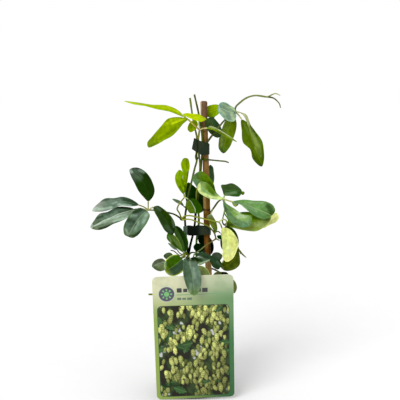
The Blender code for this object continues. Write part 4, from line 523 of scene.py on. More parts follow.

# Stem colours, 0 to 255: each tube's at its start and at its end. Most of them too were worked out
# by another program, from the photo's colour over each half of each tube.
# These colours hold painted light along with each tube's own colour: the light and shade that fell on each
# half of a tube is painted in, and the near-black ends are painted shade.
STEM_COLOURS = {
    "stem_left": (((106, 122, 50), (16, 34, 2)), ((62, 62, 44), (4, 4, 2)), ((50, 62, 8), (90, 98, 8)),
        ((154, 160, 86), (142, 146, 68)), ((128, 132, 68), (146, 140, 62)), ((202, 204, 142), (78, 86, 30)),
        ((150, 166, 76), (150, 170, 90)), ((190, 186, 122), (184, 186, 130)), ((116, 122, 12),
        (136, 140, 46)), ((170, 184, 96), (160, 178, 90)), ((198, 204, 142), (132, 152, 58)),
        ((170, 184, 96), (176, 196, 138)), ((60, 90, 40), (80, 112, 78)), ((128, 142, 36), (138, 146, 56)),
        ((192, 204, 122), (172, 178, 124)), ((142, 154, 88), (106, 124, 34)), ((144, 148, 48),
        (62, 80, 12)), ((130, 142, 58), (68, 94, 12)), ((112, 98, 24), (96, 122, 76)), ((110, 128, 60),
        (60, 90, 50)), ((120, 130, 90), (90, 110, 60)), ((104, 114, 58), (4, 10, 2)), ((70, 84, 30),
        (120, 132, 30))),
    "stem_front": (((80, 88, 32), (2, 12, 2)), ((72, 72, 34), (116, 130, 66)), ((110, 114, 52),
        (182, 186, 130)), ((72, 82, 16), (96, 110, 26)), ((40, 66, 40), (110, 146, 102)), ((104, 140, 40),
        (116, 160, 20)), ((90, 110, 40), (60, 90, 36)), ((60, 96, 40), (90, 130, 20)), ((160, 172, 110),
        (204, 204, 142)), ((150, 160, 96), (204, 204, 142)), ((54, 70, 6), (96, 106, 58)), ((84, 106, 24),
        (122, 140, 40)), ((62, 78, 10), (32, 46, 4)), ((122, 140, 40), (90, 120, 30)), ((150, 166, 60),
        (90, 130, 20)), ((120, 144, 60), (102, 120, 76)), ((116, 120, 84), (12, 22, 2)), ((150, 166, 70),
        (66, 100, 18)), ((70, 84, 20), (112, 122, 70)), ((60, 80, 30), (110, 140, 60)), ((124, 138, 10),
        (70, 96, 40)), ((60, 80, 30), (70, 96, 40))),
    "stem_pale": (((138, 138, 54), (68, 100, 32)), ((156, 138, 82), (194, 190, 82)), ((198, 204, 108),
        (176, 204, 50)), ((196, 196, 120), (176, 204, 60)), ((198, 204, 108), (170, 204, 20)),
        ((152, 154, 30), (150, 180, 20)), ((188, 174, 124), (190, 190, 124)), ((198, 196, 134),
        (136, 182, 2))),
    "stem_back": (((70, 84, 40), (22, 40, 12)), ((50, 70, 34), (40, 74, 44)), ((64, 72, 14), (88, 100, 22)),
        ((170, 196, 100), (150, 196, 120)), ((150, 180, 90), (170, 176, 124)), ((150, 180, 90),
        (100, 150, 100)), ((204, 198, 142), (182, 194, 102)), ((190, 204, 124), (44, 58, 6)), ((70, 90, 40),
        (160, 176, 80)), ((142, 156, 94), (204, 204, 142)), ((104, 154, 32), (60, 84, 20)), ((60, 80, 30),
        (96, 104, 70)), ((40, 60, 30), (60, 84, 58)), ((30, 50, 20), (40, 64, 28)), ((24, 44, 16),
        (10, 30, 10)), ((36, 56, 20), (76, 118, 32)), ((30, 50, 16), (80, 100, 36)), ((40, 66, 24),
        (40, 80, 26)), ((40, 66, 24), (40, 84, 24))),
}

# Where a blade is shaded or catches the light: two ends of a stroke in the drawing, half its width,
# and how far it turns to deep green (below 0) or to the pale sheen (above 0). The strokes were placed
# by hand, and for about half of them a program worked out how far, from a colour typed by hand.
SHADES = {
    "left_leaflet_1": ((150, 174, 153, 190, 3, -0.3), (144, 172, 139, 170, 1.8, 0.3),
        (129.6, 168.6, 131.5, 172, 2, 0.55), (134, 171, 139, 177, 5, 0.12), (131, 174, 134, 181, 3, 0.06),
        (143, 176, 147, 184, 3, -0.2)),
    "left_leaflet_2": ((136, 203.5, 124, 199.5, 3, -0.75), (123, 197.5, 112, 199, 1.4, -0.45),
        (131, 205.8, 118, 204.4, 1.3, 0.5), (117, 202, 113, 203.5, 1.2, 0.45),
        (108, 199.4, 102, 200.4, 1.3, -0.65), (112, 207.5, 100, 209.5, 1.5, 0.6),
        (98, 208, 93, 210.5, 2, 0.7), (109, 203, 104, 206, 2, -0.15)),
    "left_leaflet_3": ((133, 208.8, 116, 207.2, 1.6, -0.95), (130, 210.5, 120, 212, 2, -0.6),
        (113, 211, 107, 214, 2.2, -0.35), (103, 216, 97.5, 218, 1.8, -0.75),
        (106, 218.6, 98, 222.4, 1.4, -0.3), (126, 214.5, 108, 219.5, 1.2, 0.6),
        (128, 217, 114, 221.5, 1.6, 0.45), (106, 220.8, 94, 226, 0.9, 0.7), (118, 223, 100, 229, 2.2, -0.9),
        (100, 225.6, 108, 223.4, 1, -0.5), (92, 225, 91.5, 228, 1.3, 0.75)),
    "left_leaflet_4": ((141, 209.6, 134, 212.5, 2.4, -0.75), (137, 215, 131, 216, 1.6, 0.35),
        (128.6, 220, 134, 222, 2.6, -0.65), (130, 226, 136, 224.4, 1.6, -0.5),
        (147, 214, 143, 222, 2.2, 0.4), (138.6, 222, 135, 230, 1.4, 0.3), (134, 236.2, 142, 230.4, 2, -0.9),
        (128.5, 236.5, 133, 235.4, 1.4, -0.7), (125.6, 229, 127.6, 233.4, 1.4, 0.35),
        (126, 218, 124.6, 226, 0.9, -0.5), (137.4, 214, 139, 218, 1.2, -0.35)),
    "left_leaflet_5": ((156, 206.5, 160, 210, 2, 0.1), (160, 213, 164, 222, 2.4, -0.2),
        (172.5, 219, 174, 227, 1.4, 0.12), (167, 227, 171, 232, 2.6, 0.05),
        (168, 214, 170, 220, 1.6, -0.15)),
    "crown_leaflet_2": ((184, 119, 172, 123.5, 1.4, 0.6), (180, 118.2, 171, 119.5, 1.5, 0.25),
        (172, 121, 164, 124.5, 1.8, 0.2), (176, 128, 160, 139.5, 1.8, -0.2),
        (157, 143, 150.5, 146, 1.4, -0.3)),
    "crown_leaflet_5": ((209, 126, 216, 128, 1.6, 0.5), (222, 130.5, 232, 137, 0.9, 0.75),
        (218, 129.4, 233, 138.4, 0.8, 0.8), (217, 131.5, 224, 135, 0.8, -0.6)),
    "tendril_leaflet_1": ((223, 102.8, 231, 106.5, 1.2, -0.3), (220.5, 110.5, 226, 114.5, 1.2, 0.45),
        (225.5, 113, 228.5, 119, 1.5, -0.28), (231, 107.4, 235, 110, 1.2, 0.5),
        (231.5, 114.5, 234, 120, 1.8, 0.4), (222, 106, 228, 110, 2, -0.15),
        (218.6, 106, 219.6, 111, 1, 0.5), (234.2, 112, 234.8, 113, 1.2, -0.75)),
    "tendril_leaflet_4": ((231, 130, 227, 145, 2.6, -0.12), (224, 140, 222, 149, 2, -0.1),
        (222, 130, 221.5, 146, 1.4, 0.12), (221, 150, 223, 152, 1.6, -0.3)),
    "tendril_leaflet_5": ((243, 113.6, 247, 118.5, 1.6, 0.55), (247.5, 119.5, 248.5, 124, 1.8, 0.4),
        (251, 128, 252.5, 131, 1.4, -0.35), (251, 137, 254, 146, 1.1, -0.45),
        (258, 149, 259.5, 155, 1.8, -0.35), (250.6, 126, 262, 146, 1.8, -0.45)),
    "tendril_leaflet_6": ((244, 124, 249, 134, 1.4, 0.08), (249.6, 124, 252.5, 134, 1, 0.6),
        (252.5, 134, 257.5, 143, 1.2, 0.6), (257.5, 143, 260, 155, 1.4, 0.5),
        (251, 148, 254, 157, 1.6, -0.35), (253, 128, 257, 137, 1.2, -0.4),
        (255.5, 158, 260, 165, 2.4, -0.35), (262.5, 148, 263, 160, 1.2, -0.3)),
    "right_leaflet_1": ((197, 174, 198.5, 178, 1.4, -0.35), (210, 183, 214.5, 188, 1.4, -0.5),
        (203, 180.5, 209, 182, 1.2, -0.2), (206, 176, 211, 184, 1, -0.15)),
    "right_scrap_3": ((198.8, 184.6, 199.2, 190, 2.2, 0.95), (200, 192.2, 211, 196.8, 1.5, 0.8),
        (211, 197, 222, 198.6, 1.5, 0.8), (207, 188, 213, 193, 1.4, -0.15),
        (203, 184, 207, 190, 1.2, 0.15)),
    "right_leaflet_2": ((225, 188, 233, 187.5, 2, -0.1), (226, 194, 236, 192.5, 1.8, 0.15),
        (229, 190.5, 236, 189.5, 1.2, -0.15)),
    "right_leaflet_3": ((224, 204, 229, 206.5, 1.4, -0.2), (226, 209, 232, 210.5, 1.6, -0.3),
        (234, 210.5, 241, 214.5, 1.4, 0.3), (238, 217, 246, 216, 2.4, 0.65),
        (244, 220, 248, 221.5, 2, 0.15), (225, 207, 226, 213, 1.4, -0.45),
        (234, 223.5, 240, 225.5, 1.2, -0.25), (232, 215.5, 239, 220.5, 1.2, -0.1),
        (247, 224, 249.5, 222.5, 1.6, -0.2)),
    "right_leaflet_4": ((236, 201, 240, 202.5, 1.8, -0.1), (241, 205, 246, 209, 1, 0.4),
        (246, 205, 256, 211, 2.2, 0.1), (268, 206, 272, 212, 3.4, -0.7), (262, 210, 269, 213.5, 1.8, -0.35),
        (257, 213, 264, 217, 2, -0.15), (268, 215.5, 271, 213.5, 1.4, -0.4),
        (249, 202.5, 262, 203, 1.2, 0.2)),
    "right_leaflet_5": ((226, 224, 232, 225, 2.4, -0.7), (241, 212.5, 252, 213.6, 1.6, -0.7),
        (254, 217, 268, 219, 3.2, -0.7), (254, 224.5, 262, 225, 2.2, 0.2)),
    "drooping_leaflet_1": ((221.6, 231, 222, 246, 1, -0.25), (225, 228.6, 231, 231.5, 1.3, -0.1),
        (226, 229, 224, 233, 1.6, -0.15), (236, 237, 237.4, 243, 1.6, -0.2), (229, 246, 227, 259, 2.4, 0.4),
        (231, 249, 233, 256, 2, 0.35)),
    "drooping_leaflet_2": ((232.5, 253.5, 229, 256, 1.5, 0.5), (224.5, 258.6, 222, 262, 1.3, 0.4),
        (237, 259, 238, 264, 1.6, -0.2), (228, 262, 232, 266, 3, -0.5), (221.5, 265.5, 223, 268, 1.1, 0.1)),
    "lower_leaflet_1": ((185.5, 250, 185.5, 242, 2.2, -0.55), (184, 239, 180, 230, 2, -0.6)),
    "lower_leaflet_2": ((181, 250, 177, 247.6, 1.3, -0.2), (171, 241.5, 169, 237, 1.2, 0.15),
        (173, 243, 176, 246, 1.4, -0.35), (177, 245, 174, 240, 1, 0.1)),
    "lower_leaflet_4": ((176, 267, 171, 268.5, 2.4, -0.25), (165.2, 262, 164.6, 270, 1.5, 0.55),
        (167, 258.6, 173, 255.5, 1, 0.25), (166.5, 273, 172, 275, 1.1, 0.25)),
    "lower_leaflet_5": ((187, 259.5, 194, 260.5, 1.6, -0.65), (184.6, 262, 184.8, 276, 1.4, -0.3),
        (189.5, 262, 190.5, 268, 1.2, 0.25), (193.5, 268, 194.5, 278, 1.8, 0.2),
        (191, 284, 190, 291, 1.8, 0.2), (198.5, 268, 200, 276, 1.2, 0.1)),
    "lower_leaflet_6": ((199, 256, 202, 257, 1, 0.15), (213, 265, 218, 268, 1.4, -0.4),
        (219, 260, 221, 263, 1.3, -0.25), (217, 261.5, 220.6, 265, 1.2, 0.1)),
    "lower_leaflet_7": ((194.5, 259, 201, 260.6, 1.9, -0.85), (198.6, 264.2, 209, 260.2, 0.9, 0.55),
        (195.6, 257, 203, 257.6, 0.5, 0.4)),
    "lower_leaflet_10": ((155, 265, 164, 262, 0.6, 0.6), (157, 260.6, 165, 259.6, 1.2, -0.35),
        (154.6, 268, 160, 270.5, 1.4, -0.35)),
    "inner_leaflet_1": ((184.4, 192, 185, 186, 1.8, -0.7), (187, 182, 188.4, 172, 1.2, -0.5),
        (186.5, 168, 186, 160, 1.6, -0.2)),
    "inner_leaflet_2": ((182.5, 192, 180, 187, 1.8, -0.5), (183.4, 186, 182, 180, 1.4, -0.45),
        (176.5, 172.4, 178.5, 171, 1.6, 0.15), (177, 175, 178, 179, 1.6, 0.1)),
    "inner_leaflet_4": ((187.5, 199.5, 190, 198.8, 1.5, -0.7),),
}

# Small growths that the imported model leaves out: leaf scraps in the form of LEAFLETS
SCRAPS = {
    "right_scrap_1": ((241, 193.6), ((242.2, 191.4), (243.6, 191.4)), (244.6, 193), ((242.4, 195),
        (243.8, 194.6)), -2, -2.4, 0, 0.3, 0.4, 0),
    "right_scrap_3": ((222.6, 198.9), ((216.6, 193.6), (212.6, 188), (207, 182.8)), (200.8, 181.8),
        ((213.3, 199.4), (204.6, 196.2), (198.6, 191.8), (197.2, 187)), -12.6, -18.6, -1.2, 1, 2.5, 0),
    "right_scrap_2": ((232.2, 201.8), ((235, 201), (237.8, 202.4)), (238.4, 204.4), ((232.6, 204.6),
        (235, 206.8)), -9.2, -9.6, 0, 0.4, 0.4, 0),
    "drooping_scrap_1": ((216.9, 236), ((219.4, 235), (221.4, 235.6)), (222.4, 237.6), ((218, 238.4),
        (220.4, 239.2)), -12, -12.6, 0, 0.3, 0.4, 0),
    "lower_scrap_1": ((190.8, 258.2), ((193, 257), (196.4, 257.6)), (199.4, 260.6), ((191.8, 260.8),
        (195, 262.4)), -18, -18.6, 0, 0.3, 0.4, 0),
}

# Small twigs: name, slot, tubes in the form of STEMS, and their colours
TWIGS = (
    ("tie_twigs", "stem", ((0.5, 0.45, ((196.7, 152.4, -6.6), (195.5, 156, -7.4), (196.6, 160, -7.2),
        (198.4, 157.6, -7), (198.2, 153, -6.8)), None), (0.5, 0.45, ((198.6, 153, -6.8), (199, 157.6, -7.2),
        (200.6, 160.4, -7.2), (201.7, 157, -7), (201.3, 154.2, -6.8)), None)), (((62, 74, 26),
        (44, 54, 18)), ((84, 94, 40), (50, 60, 20)))),
    ("bud_twigs", "stem", ((0.95, 0.3, ((237.8, 248.6, -5), (240.6, 252, -5.4), (243.2, 254.8, -5.8),
        (246.2, 257.6, -6)), None), (0.7, 0.4, ((239.4, 250.4, -5.2), (240.8, 254, -5.6)), None)),
        (((90, 104, 20), (120, 128, 60)), ((84, 96, 24), (70, 84, 20)))),
)

# Swellings where stalks meet: column, row, depth and radius in millimetres, and colour
KNOTS = (
    (223.2, 198.6, -8.2, 1.5, (196, 204, 116)), (148, 209.9, -12, 1, (150, 158, 98)), (186, 253.2, -9.6,
    1.8, (74, 88, 16)), (184.6, 256.4, -17.4, 1.3, (122, 104, 48)), (183.4, 255.2, -18, 1, (150, 160, 50)),
    (186.8, 257.8, -26, 1.4, (60, 80, 30)), (181.8, 257.4, -21, 1, (122, 132, 60)), (234.8, 111.2, -3.6,
    1.2, (50, 64, 24)), (199.8, 129.8, -6.8, 0.95, (176, 168, 96)),
)


def daylight(colour):
    """A colour from 0 to 255, as seen, turned into the linear share of light that it gives back."""
    seen = np.asarray(colour, float) / 255
    return np.where(seen <= 0.04045, seen / 12.92, ((seen + 0.055) / 1.055) ** 2.4)


def painted(colour, inside, tint):
    """One colour laid over another, where inside says how much of it shows."""
    inside = np.asarray(inside)[..., None]
    return colour * (1 - inside) + tint * inside


def stacked(*parts):
    """Arrays whose shapes go together, as the coordinates of points."""
    return np.stack(np.broadcast_arrays(*parts), axis=-1)


def unit(vectors):
    """The same directions, with length 1."""
    return vectors / np.maximum(np.linalg.norm(vectors, axis=-1, keepdims=True), 1e-12)


def angles_round(sides):
    return np.arange(sides) * 2 * math.pi / sides


def smooth_step(low, high, value):
    share = np.clip((value - low) / (high - low), 0, 1)
    return share * share * (3 - 2 * share)


def placed(columns, rows, depths):
    """The points in space that the eye sees at these grid places, at these depths in metres."""
    columns, rows, depths = np.broadcast_arrays(columns, rows, depths)
    sine, cosine = math.sin(VIEW_ELEVATION), math.cos(VIEW_ELEVATION)
    across = (columns - GRID_CENTRE[0]) * GRID
    up = (GRID_CENTRE[1] - rows) * GRID
    eye = VIEW_TARGET + VIEW_DISTANCE * np.array([0, -cosine, sine])
    ray = stacked(across, VIEW_DISTANCE * cosine + up * sine, up * cosine - VIEW_DISTANCE * sine)
    return eye + ray * ((depths - eye[1]) / ray[..., 1])[..., None]


def run_length(points):
    """How far along a line of points each of them lies."""
    return np.concatenate([[0], np.cumsum(np.linalg.norm(np.diff(points, axis=0), axis=1))])


def hermite(points, knots, slopes, places):
    """A cubic between each two points, with the given slopes where they meet."""
    span = np.clip(np.searchsorted(knots, places, side="right") - 1, 0, len(knots) - 2)
    width = (knots[span + 1] - knots[span])[:, None]
    t = (places - knots[span])[:, None] / width
    return (
        (2 * t**3 - 3 * t**2 + 1) * points[span]
        + (t**3 - 2 * t**2 + t) * width * slopes[span]
        + (3 * t**2 - 2 * t**3) * points[span + 1]
        + (t**3 - t**2) * width * slopes[span + 1]
    )


def along(points, places):
    """A smooth curve through the points, read at places from 0 to 1 of its length."""
    points = np.asarray(points, float)
    knots = run_length(points)
    knots = knots / knots[-1]
    if len(points) > 2:
        slopes = np.gradient(points, knots, axis=0)
    else:
        slopes = np.repeat(np.diff(points, axis=0), 2, axis=0)
    return hermite(points, knots, slopes, places)


def linked(name, data):
    """A new object in the scene."""
    obj = bpy.data.objects.new(name, data)
    bpy.context.scene.collection.objects.link(obj)
    return obj


def piece(name, points, faces, stands_for=(), slot=None, material=None, colours=None, uv=None, sharp=None):
    """One finished object: its mesh from arrays of points and faces, outward normals, smooth
    shading, an optional colour for each point and an optional map, and its place in the frame."""
    mesh = bpy.data.meshes.new(name)
    mesh.from_pydata(np.asarray(points, float).tolist(), [], [tuple(int(i) for i in face) for face in faces])
    shell = bmesh.new()
    shell.from_mesh(mesh)
    bmesh.ops.recalc_face_normals(shell, faces=shell.faces)
    shell.to_mesh(mesh)
    shell.free()
    if colours is not None:
        layer = mesh.color_attributes.new("tint", "FLOAT_COLOR", "POINT")
        four = np.column_stack([colours, np.ones(len(colours))])
        layer.data.foreach_set("color", four.astype(np.float32).ravel())
    if uv is not None:
        corners = np.empty(len(mesh.loops), np.int32)
        mesh.loops.foreach_get("vertex_index", corners)
        layer = mesh.uv_layers.new(name="blade")
        layer.data.foreach_set("uv", np.asarray(uv, np.float32)[corners].ravel())
    mesh.shade_smooth()
    if sharp:
        mesh.set_sharp_from_angle(angle=math.radians(sharp))
    obj = linked(name, mesh)
    if material:
        mesh.materials.append(material)
    if slot:
        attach(obj, "root")
    if stands_for:
        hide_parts(*stands_for)
    return obj


def shell_faces(rings, sides):
    """Faces of rings that follow each other: quads between rings, and a fan to a pole at each end.
    The rings' points come first, then the first pole, then the last."""
    i = np.arange(sides)
    j = (i + 1) % sides
    low = np.arange(rings - 1)[:, None] * sides
    quads = stacked(low + i, low + j, low + sides + j, low + sides + i).reshape(-1, 4).tolist()
    pole = rings * sides
    top = pole - sides
    return quads + stacked(j, i, pole).tolist() + stacked(top + i, top + j, pole + 1).tolist()


def joined(shells):
    """The points and the faces of several shells, in one mesh."""
    points, faces, total = [], [], 0
    for shell, sides in shells:
        points.append(shell)
        faces += [[i + total for i in face] for face in sides]
        total += len(shell)
    return np.vstack(points), faces


# Leaflets


def leaf_side(base, side, tip, other, places):
    """One edge of a leaflet, from its stalk end to its tip. The other edge's ends steer its own, so
    that the outline is round where the edges meet."""
    points = np.array([other[0], base, *side, tip, other[-1]], float)
    knots = run_length(points)
    slopes = np.gradient(points, knots, axis=0)[1:-1]
    length = knots[-2] - knots[1]
    return hermite(points[1:-1], (knots[1:-1] - knots[1]) / length, slopes * length, places)


def drawn(row, t, s):
    """Where a leaflet's points lie in the drawing: at share t of the way to the tip, between the two
    edges at share s, -1 to 1, with the midrib moved to one side by the row's last number."""
    base, side, tip, other = row[:4]
    shifted = (s + row[-1] * (1 - s**2) / 2)[None, :, None]
    one = leaf_side(base, side, tip, other, t)[:, None, :]
    two = leaf_side(base, other, tip, side, t)[:, None, :]
    return one * (1 + shifted) / 2 + two * (1 - shifted) / 2


def blade_middle(row, t, s, wave):
    """A leaflet's middle surface: its points' depth runs from the stalk's to the tip's, with a bow
    half way, a lean from edge to edge, a cup at the midrib and a wave that grows towards the edges."""
    base_depth, tip_depth, bow, lean, cup = row[4:9]
    seen = drawn(row, t, s)
    t, s = t[:, None], s[None, :]
    width = np.sin(math.pi * np.clip(t, 0, 1)) ** 0.7
    depth = base_depth + (tip_depth - base_depth) * t + bow * 4 * t * (1 - t)
    depth = depth + (lean * s + cup * (1 - np.abs(s) ** 1.5)) * width
    height, turns, start = wave
    depth = depth + height * s**2 * width * np.sin(2 * math.pi * (turns * t + start) + 0.8 * np.sign(s))
    return placed(seen[..., 0], seen[..., 1], depth * MM)


def shaded(name, colour, seen):
    """The colour turned towards deep green or the pale sheen along each of the leaflet's strokes, by
    the distance from the stroke's line."""
    sheen = SHEEN.get(name) or SHEEN[name.split("_")[0]]
    for x0, y0, x1, y1, reach, light in SHADES.get(name, ()):
        start, run = np.array([x0, y0]), np.array([x1 - x0, y1 - y0])
        place = np.clip((seen - start) @ run / (run @ run), 0, 1)[..., None]
        away = np.linalg.norm(seen - start - place * run, axis=-1)
        share = smooth_step(1.15 * reach, 0.35 * reach, away) * abs(light)
        colour = painted(colour, share, daylight(sheen if light > 0 else DEEP_GREEN))
    return colour


def blade_colours(name, row, t, s):
    """Each point's colour: one for each half, blended at the midrib, then the stalk end's, the tip's
    and the rim's where they show, the strokes of shade and sheen, and broad soft patches."""
    seen = drawn(row, t, s)
    first, second, tip, _, rim, *start = LEAF_COLOURS[name]
    t, s = np.broadcast_arrays(t[:, None], s[None, :])
    colour = painted(daylight(second), smooth_step(-0.12, 0.12, s), daylight(first))
    rim_side = s < 0.1 if name in RIM_ON_OTHER_SIDE else 1
    for other, share in ((start and start[0], 0.9 * smooth_step(0.42, 0.04, t)),
                         (tip, 0.9 * smooth_step(0.62, 1.0, t)),
                         (rim, 0.8 * smooth_step(0.84, 0.99, np.abs(s)) * rim_side)):
        if other:
            colour = painted(colour, share, daylight(other))
    phase = leaflet_draw(name).uniform(0, 6.28, 3)
    patch = np.sin(5.3 * t + phase[0]) * np.cos(2.6 * s + phase[1]) + 0.6 * np.sin(11 * t + 4 * s + phase[2])
    return shaded(name, colour * (1 + 0.07 * patch)[..., None], seen)


def leaflet_draw(name):
    """Random numbers that belong to one leaflet."""
    return np.random.default_rng(sum(map(ord, name)))


def make_leaflet(name, row):
    """A thin blade round the middle surface: each cross-section is a flat ring, half the thickness
    to each side and rounded at the edges, with a groove over the midrib and a ridge under it."""
    base, tip = np.array(row[0]), np.array(row[2])
    length = np.linalg.norm(tip - base) * GRID / MM
    draw = leaflet_draw(name)
    wave = (min(0.8, length / 60), draw.uniform(2.2, 3.4), draw.uniform(0, 1))
    steps = np.linspace(0, 1, BLADE_ROWS + 1)
    t = 0.45 * steps + 0.55 * (1 - np.cos(math.pi * steps)) / 2
    across = np.linspace(-1, 1, BLADE_COLUMNS + 1)
    s = across - 0.6 * np.sin(2 * math.pi * across) / (2 * math.pi)
    middle = blade_middle(row, t, s, wave)
    normal = unit(np.cross(np.gradient(middle, t, axis=0), np.gradient(middle, s, axis=1)))
    facing, rising = np.median(normal[..., 1]), np.median(normal[..., 2])
    normal *= -np.sign(facing) if abs(facing) > 0.05 else np.sign(rising)
    ends = (4 * t * (1 - t))[:, None] ** 0.3
    half = BLADE_THICKNESS / 2 * np.sqrt(1 - np.abs(s) ** 5) * ends
    groove = BLADE_GROOVE * np.exp(-((s / 0.05) ** 2)) * ends
    ridge = BLADE_RIDGE * np.exp(-((s / 0.07) ** 2)) * ends * (1 - 0.7 * t[:, None])
    front = middle + normal * (half - groove)[..., None]
    back = middle - normal * (half + ridge)[..., None]
    ring = np.concatenate([front[1:-1], back[1:-1, -2:0:-1]], axis=1)
    rows, sides = ring.shape[:2]
    points = np.vstack([ring.reshape(-1, 3), middle[0, :1], middle[-1, :1]])
    ring_s = np.concatenate([s, s[-2:0:-1]])
    colours = blade_colours(name, row, t[1:-1], ring_s).reshape(-1, 3)
    end_colours = [blade_colours(name, row, t[[end]], np.zeros(1))[0] for end in (0, -1)]
    uv = np.vstack([stacked(t[1:-1, None], (ring_s + 1) / 2).reshape(-1, 2), [[0, 0.5], [1, 0.5]]])
    group = name.split("_")[0]
    stands_for = (name,) if name in LEAFLETS else ()
    return piece(f"{name}_blade", points, shell_faces(rows, sides), stands_for, f"leaf_{group}",
                 leaf_material(name), np.vstack([colours, *end_colours]), uv)


# Stems, clips, cane


def tube_rings(path, radii, sides):
    """Rings carried along a path without twisting, the first and last pulled in to round the ends.
    Returns the points, poles last, and the place along the path of each."""
    run = run_length(path)
    tangents = unit(np.gradient(path, axis=0))
    side = np.array(Vector(tangents[0]).orthogonal().normalized())
    sideways = []
    for tangent in tangents:
        side = unit(side - tangent * side.dot(tangent))
        sideways.append(side)
    sideways = np.array(sideways)[:, None]
    upright = np.cross(tangents, sideways[:, 0])[:, None]
    angles = angles_round(sides)[:, None]
    rings = path[:, None] + (np.cos(angles) * sideways + np.sin(angles) * upright) * radii[:, None, None]
    first = path[0] - tangents[0] * radii[0] * 0.3
    last = path[-1] + tangents[-1] * radii[-1] * 0.3
    points = np.vstack([rings.reshape(-1, 3), first, last])
    return points, np.concatenate([np.repeat(run / run[-1], sides), [0, 1]])


def stem_tube(name, index, spec):
    """One tube of a stem: its path, a radius that tapers, swells a little at its start and wavers."""
    first, last, route, leaflet = spec
    columns, rows, depths = np.array(route, float).T
    points = placed(columns, rows, depths * MM)
    if leaflet:
        row = LEAFLETS[leaflet]
        end = placed(*row[0], row[4] * MM)
        points = np.vstack([points, end + unit(end - points[-1]) * STALK_OVERLAP])
    length = run_length(points)[-1]
    places = np.linspace(0, 1, max(6, round(length / STEM_STEP) + 1))
    gone = places * length / MM
    draw = np.random.default_rng(len(name) * 100 + index)
    waver = 1 + sum(height * np.sin(gone / wave + draw.uniform(0, 6)) for height, wave in STEM_WAVES)
    radii = (STEM_BARK + first + (last - first) * places) * MM * waver
    if index:
        radii = radii * (1 + 0.35 * np.exp(-((gone / 0.9) ** 2)))
    if leaflet:
        left = length / MM - gone
        radii = radii * (1 + 0.3 * np.exp(-(((left - 1.4) / 0.8) ** 2)) - 0.35 * np.exp(-((left / 0.5) ** 2)))
    else:
        radii[-1] *= 0.8
    return along(points, places), radii


def make_stem(name, tubes, shades, stands_for, slot):
    """A stem and the stalks that grew out of it, in one mesh with a colour along each tube. A
    climbing stem turns to its lower colour little above the upper clip, and all below the middle."""
    shells, colours = [], []
    for index, (spec, (start, end)) in enumerate(zip(tubes, shades)):
        sides = STEM_SIDES if index == 0 or spec[0] > THICK_STALK else STALK_SIDES
        path, radii = stem_tube(name, index, spec)
        shell, places = tube_rings(path, radii, sides)
        share = smooth_step(0.0, 1.0, places) if index else smooth_step(0.12, 0.62, places)
        colours.append(painted(daylight(start), share, daylight(end)))
        shells.append((shell, shell_faces(len(path), sides)))
    points, faces = joined(shells)
    return piece(f"{name}_bark", points, faces, stands_for, slot, stem_material(), np.vstack(colours))


def make_knots():
    """Swellings where stalks meet: spheres, as rings of the cosine and sine of two angles, a little
    longer upwards and uneven by two slow waves."""
    columns, rows, depths, radii, tints = zip(*KNOTS)
    up = np.linspace(0, math.pi, KNOT_RINGS + 2)[1:-1, None]
    around = angles_round(KNOT_SIDES)
    bulge = 1 + 0.08 * np.sin(3 * around + 2 * up) + 0.06 * np.cos(5 * up)
    ball = stacked(np.sin(up) * np.cos(around), np.sin(up) * np.sin(around), KNOT_TALLNESS * np.cos(up))
    ball = (ball * bulge[..., None]).reshape(-1, 3)
    ball = np.vstack([ball, [[0, 0, KNOT_TALLNESS], [0, 0, -KNOT_TALLNESS]]])
    centres = placed(columns, rows, np.array(depths) * MM)
    balls = centres[:, None] + ball * np.array(radii)[:, None, None] * MM
    points, faces = joined((each, shell_faces(KNOT_RINGS, KNOT_SIDES)) for each in balls)
    colours = np.repeat(daylight(tints), len(ball), axis=0)
    return piece("stem_knots", points, faces, (), "stem", stem_material(), colours)


def rounded_loop(ring, share=0.16):
    """A closed polygon with each corner cut into three points, so that it bends in a small arc."""
    near = ring + (np.roll(ring, 1, axis=0) - ring) * share
    far = ring + (np.roll(ring, -1, axis=0) - ring) * share
    middle = ring * 0.5 + (near + far) * 0.25
    return np.stack([near, middle, far], axis=1).reshape(-1, ring.shape[1])


def inward(loop):
    """The direction in plan that points into the loop at each of its points."""
    x, y = loop[:, 0], loop[:, 1]
    run = unit(np.roll(loop[:, :2], -1, axis=0) - np.roll(loop[:, :2], 1, axis=0))
    turn = np.sign((x * np.roll(y, -1) - y * np.roll(x, -1)).sum())
    return np.column_stack([-run[:, 1] * turn, run[:, 0] * turn, np.zeros(len(loop))])


def make_clip(name, ring):
    """A band: a rounded rectangle, as tall as the band and as deep as its wall, carried round a
    closed loop of soft corners."""
    top_x, top_y, bottom_x, bottom_y, depths = np.array(ring, float).T
    tops = rounded_loop(placed(top_x, top_y, depths * MM))[:, None]
    bottoms = rounded_loop(placed(bottom_x, bottom_y, depths * MM))[:, None]
    height, wall = np.array(CLIP_SECTION).T[..., None]
    rings = bottoms * (1 - height) + tops * height + inward(tops[:, 0])[:, None] * (wall * CLIP_WALL)
    around, across = rings.shape[:2]
    i, j = np.arange(around)[:, None] * across, np.arange(across)
    after, beside = np.roll(i, -1), np.roll(j, -1)
    faces = stacked(i + j, after + j, after + beside, i + beside).reshape(-1, 4)
    return piece(f"{name}_band", rings.reshape(-1, 3), faces, (name,), "clip", clip_material(), sharp=50)


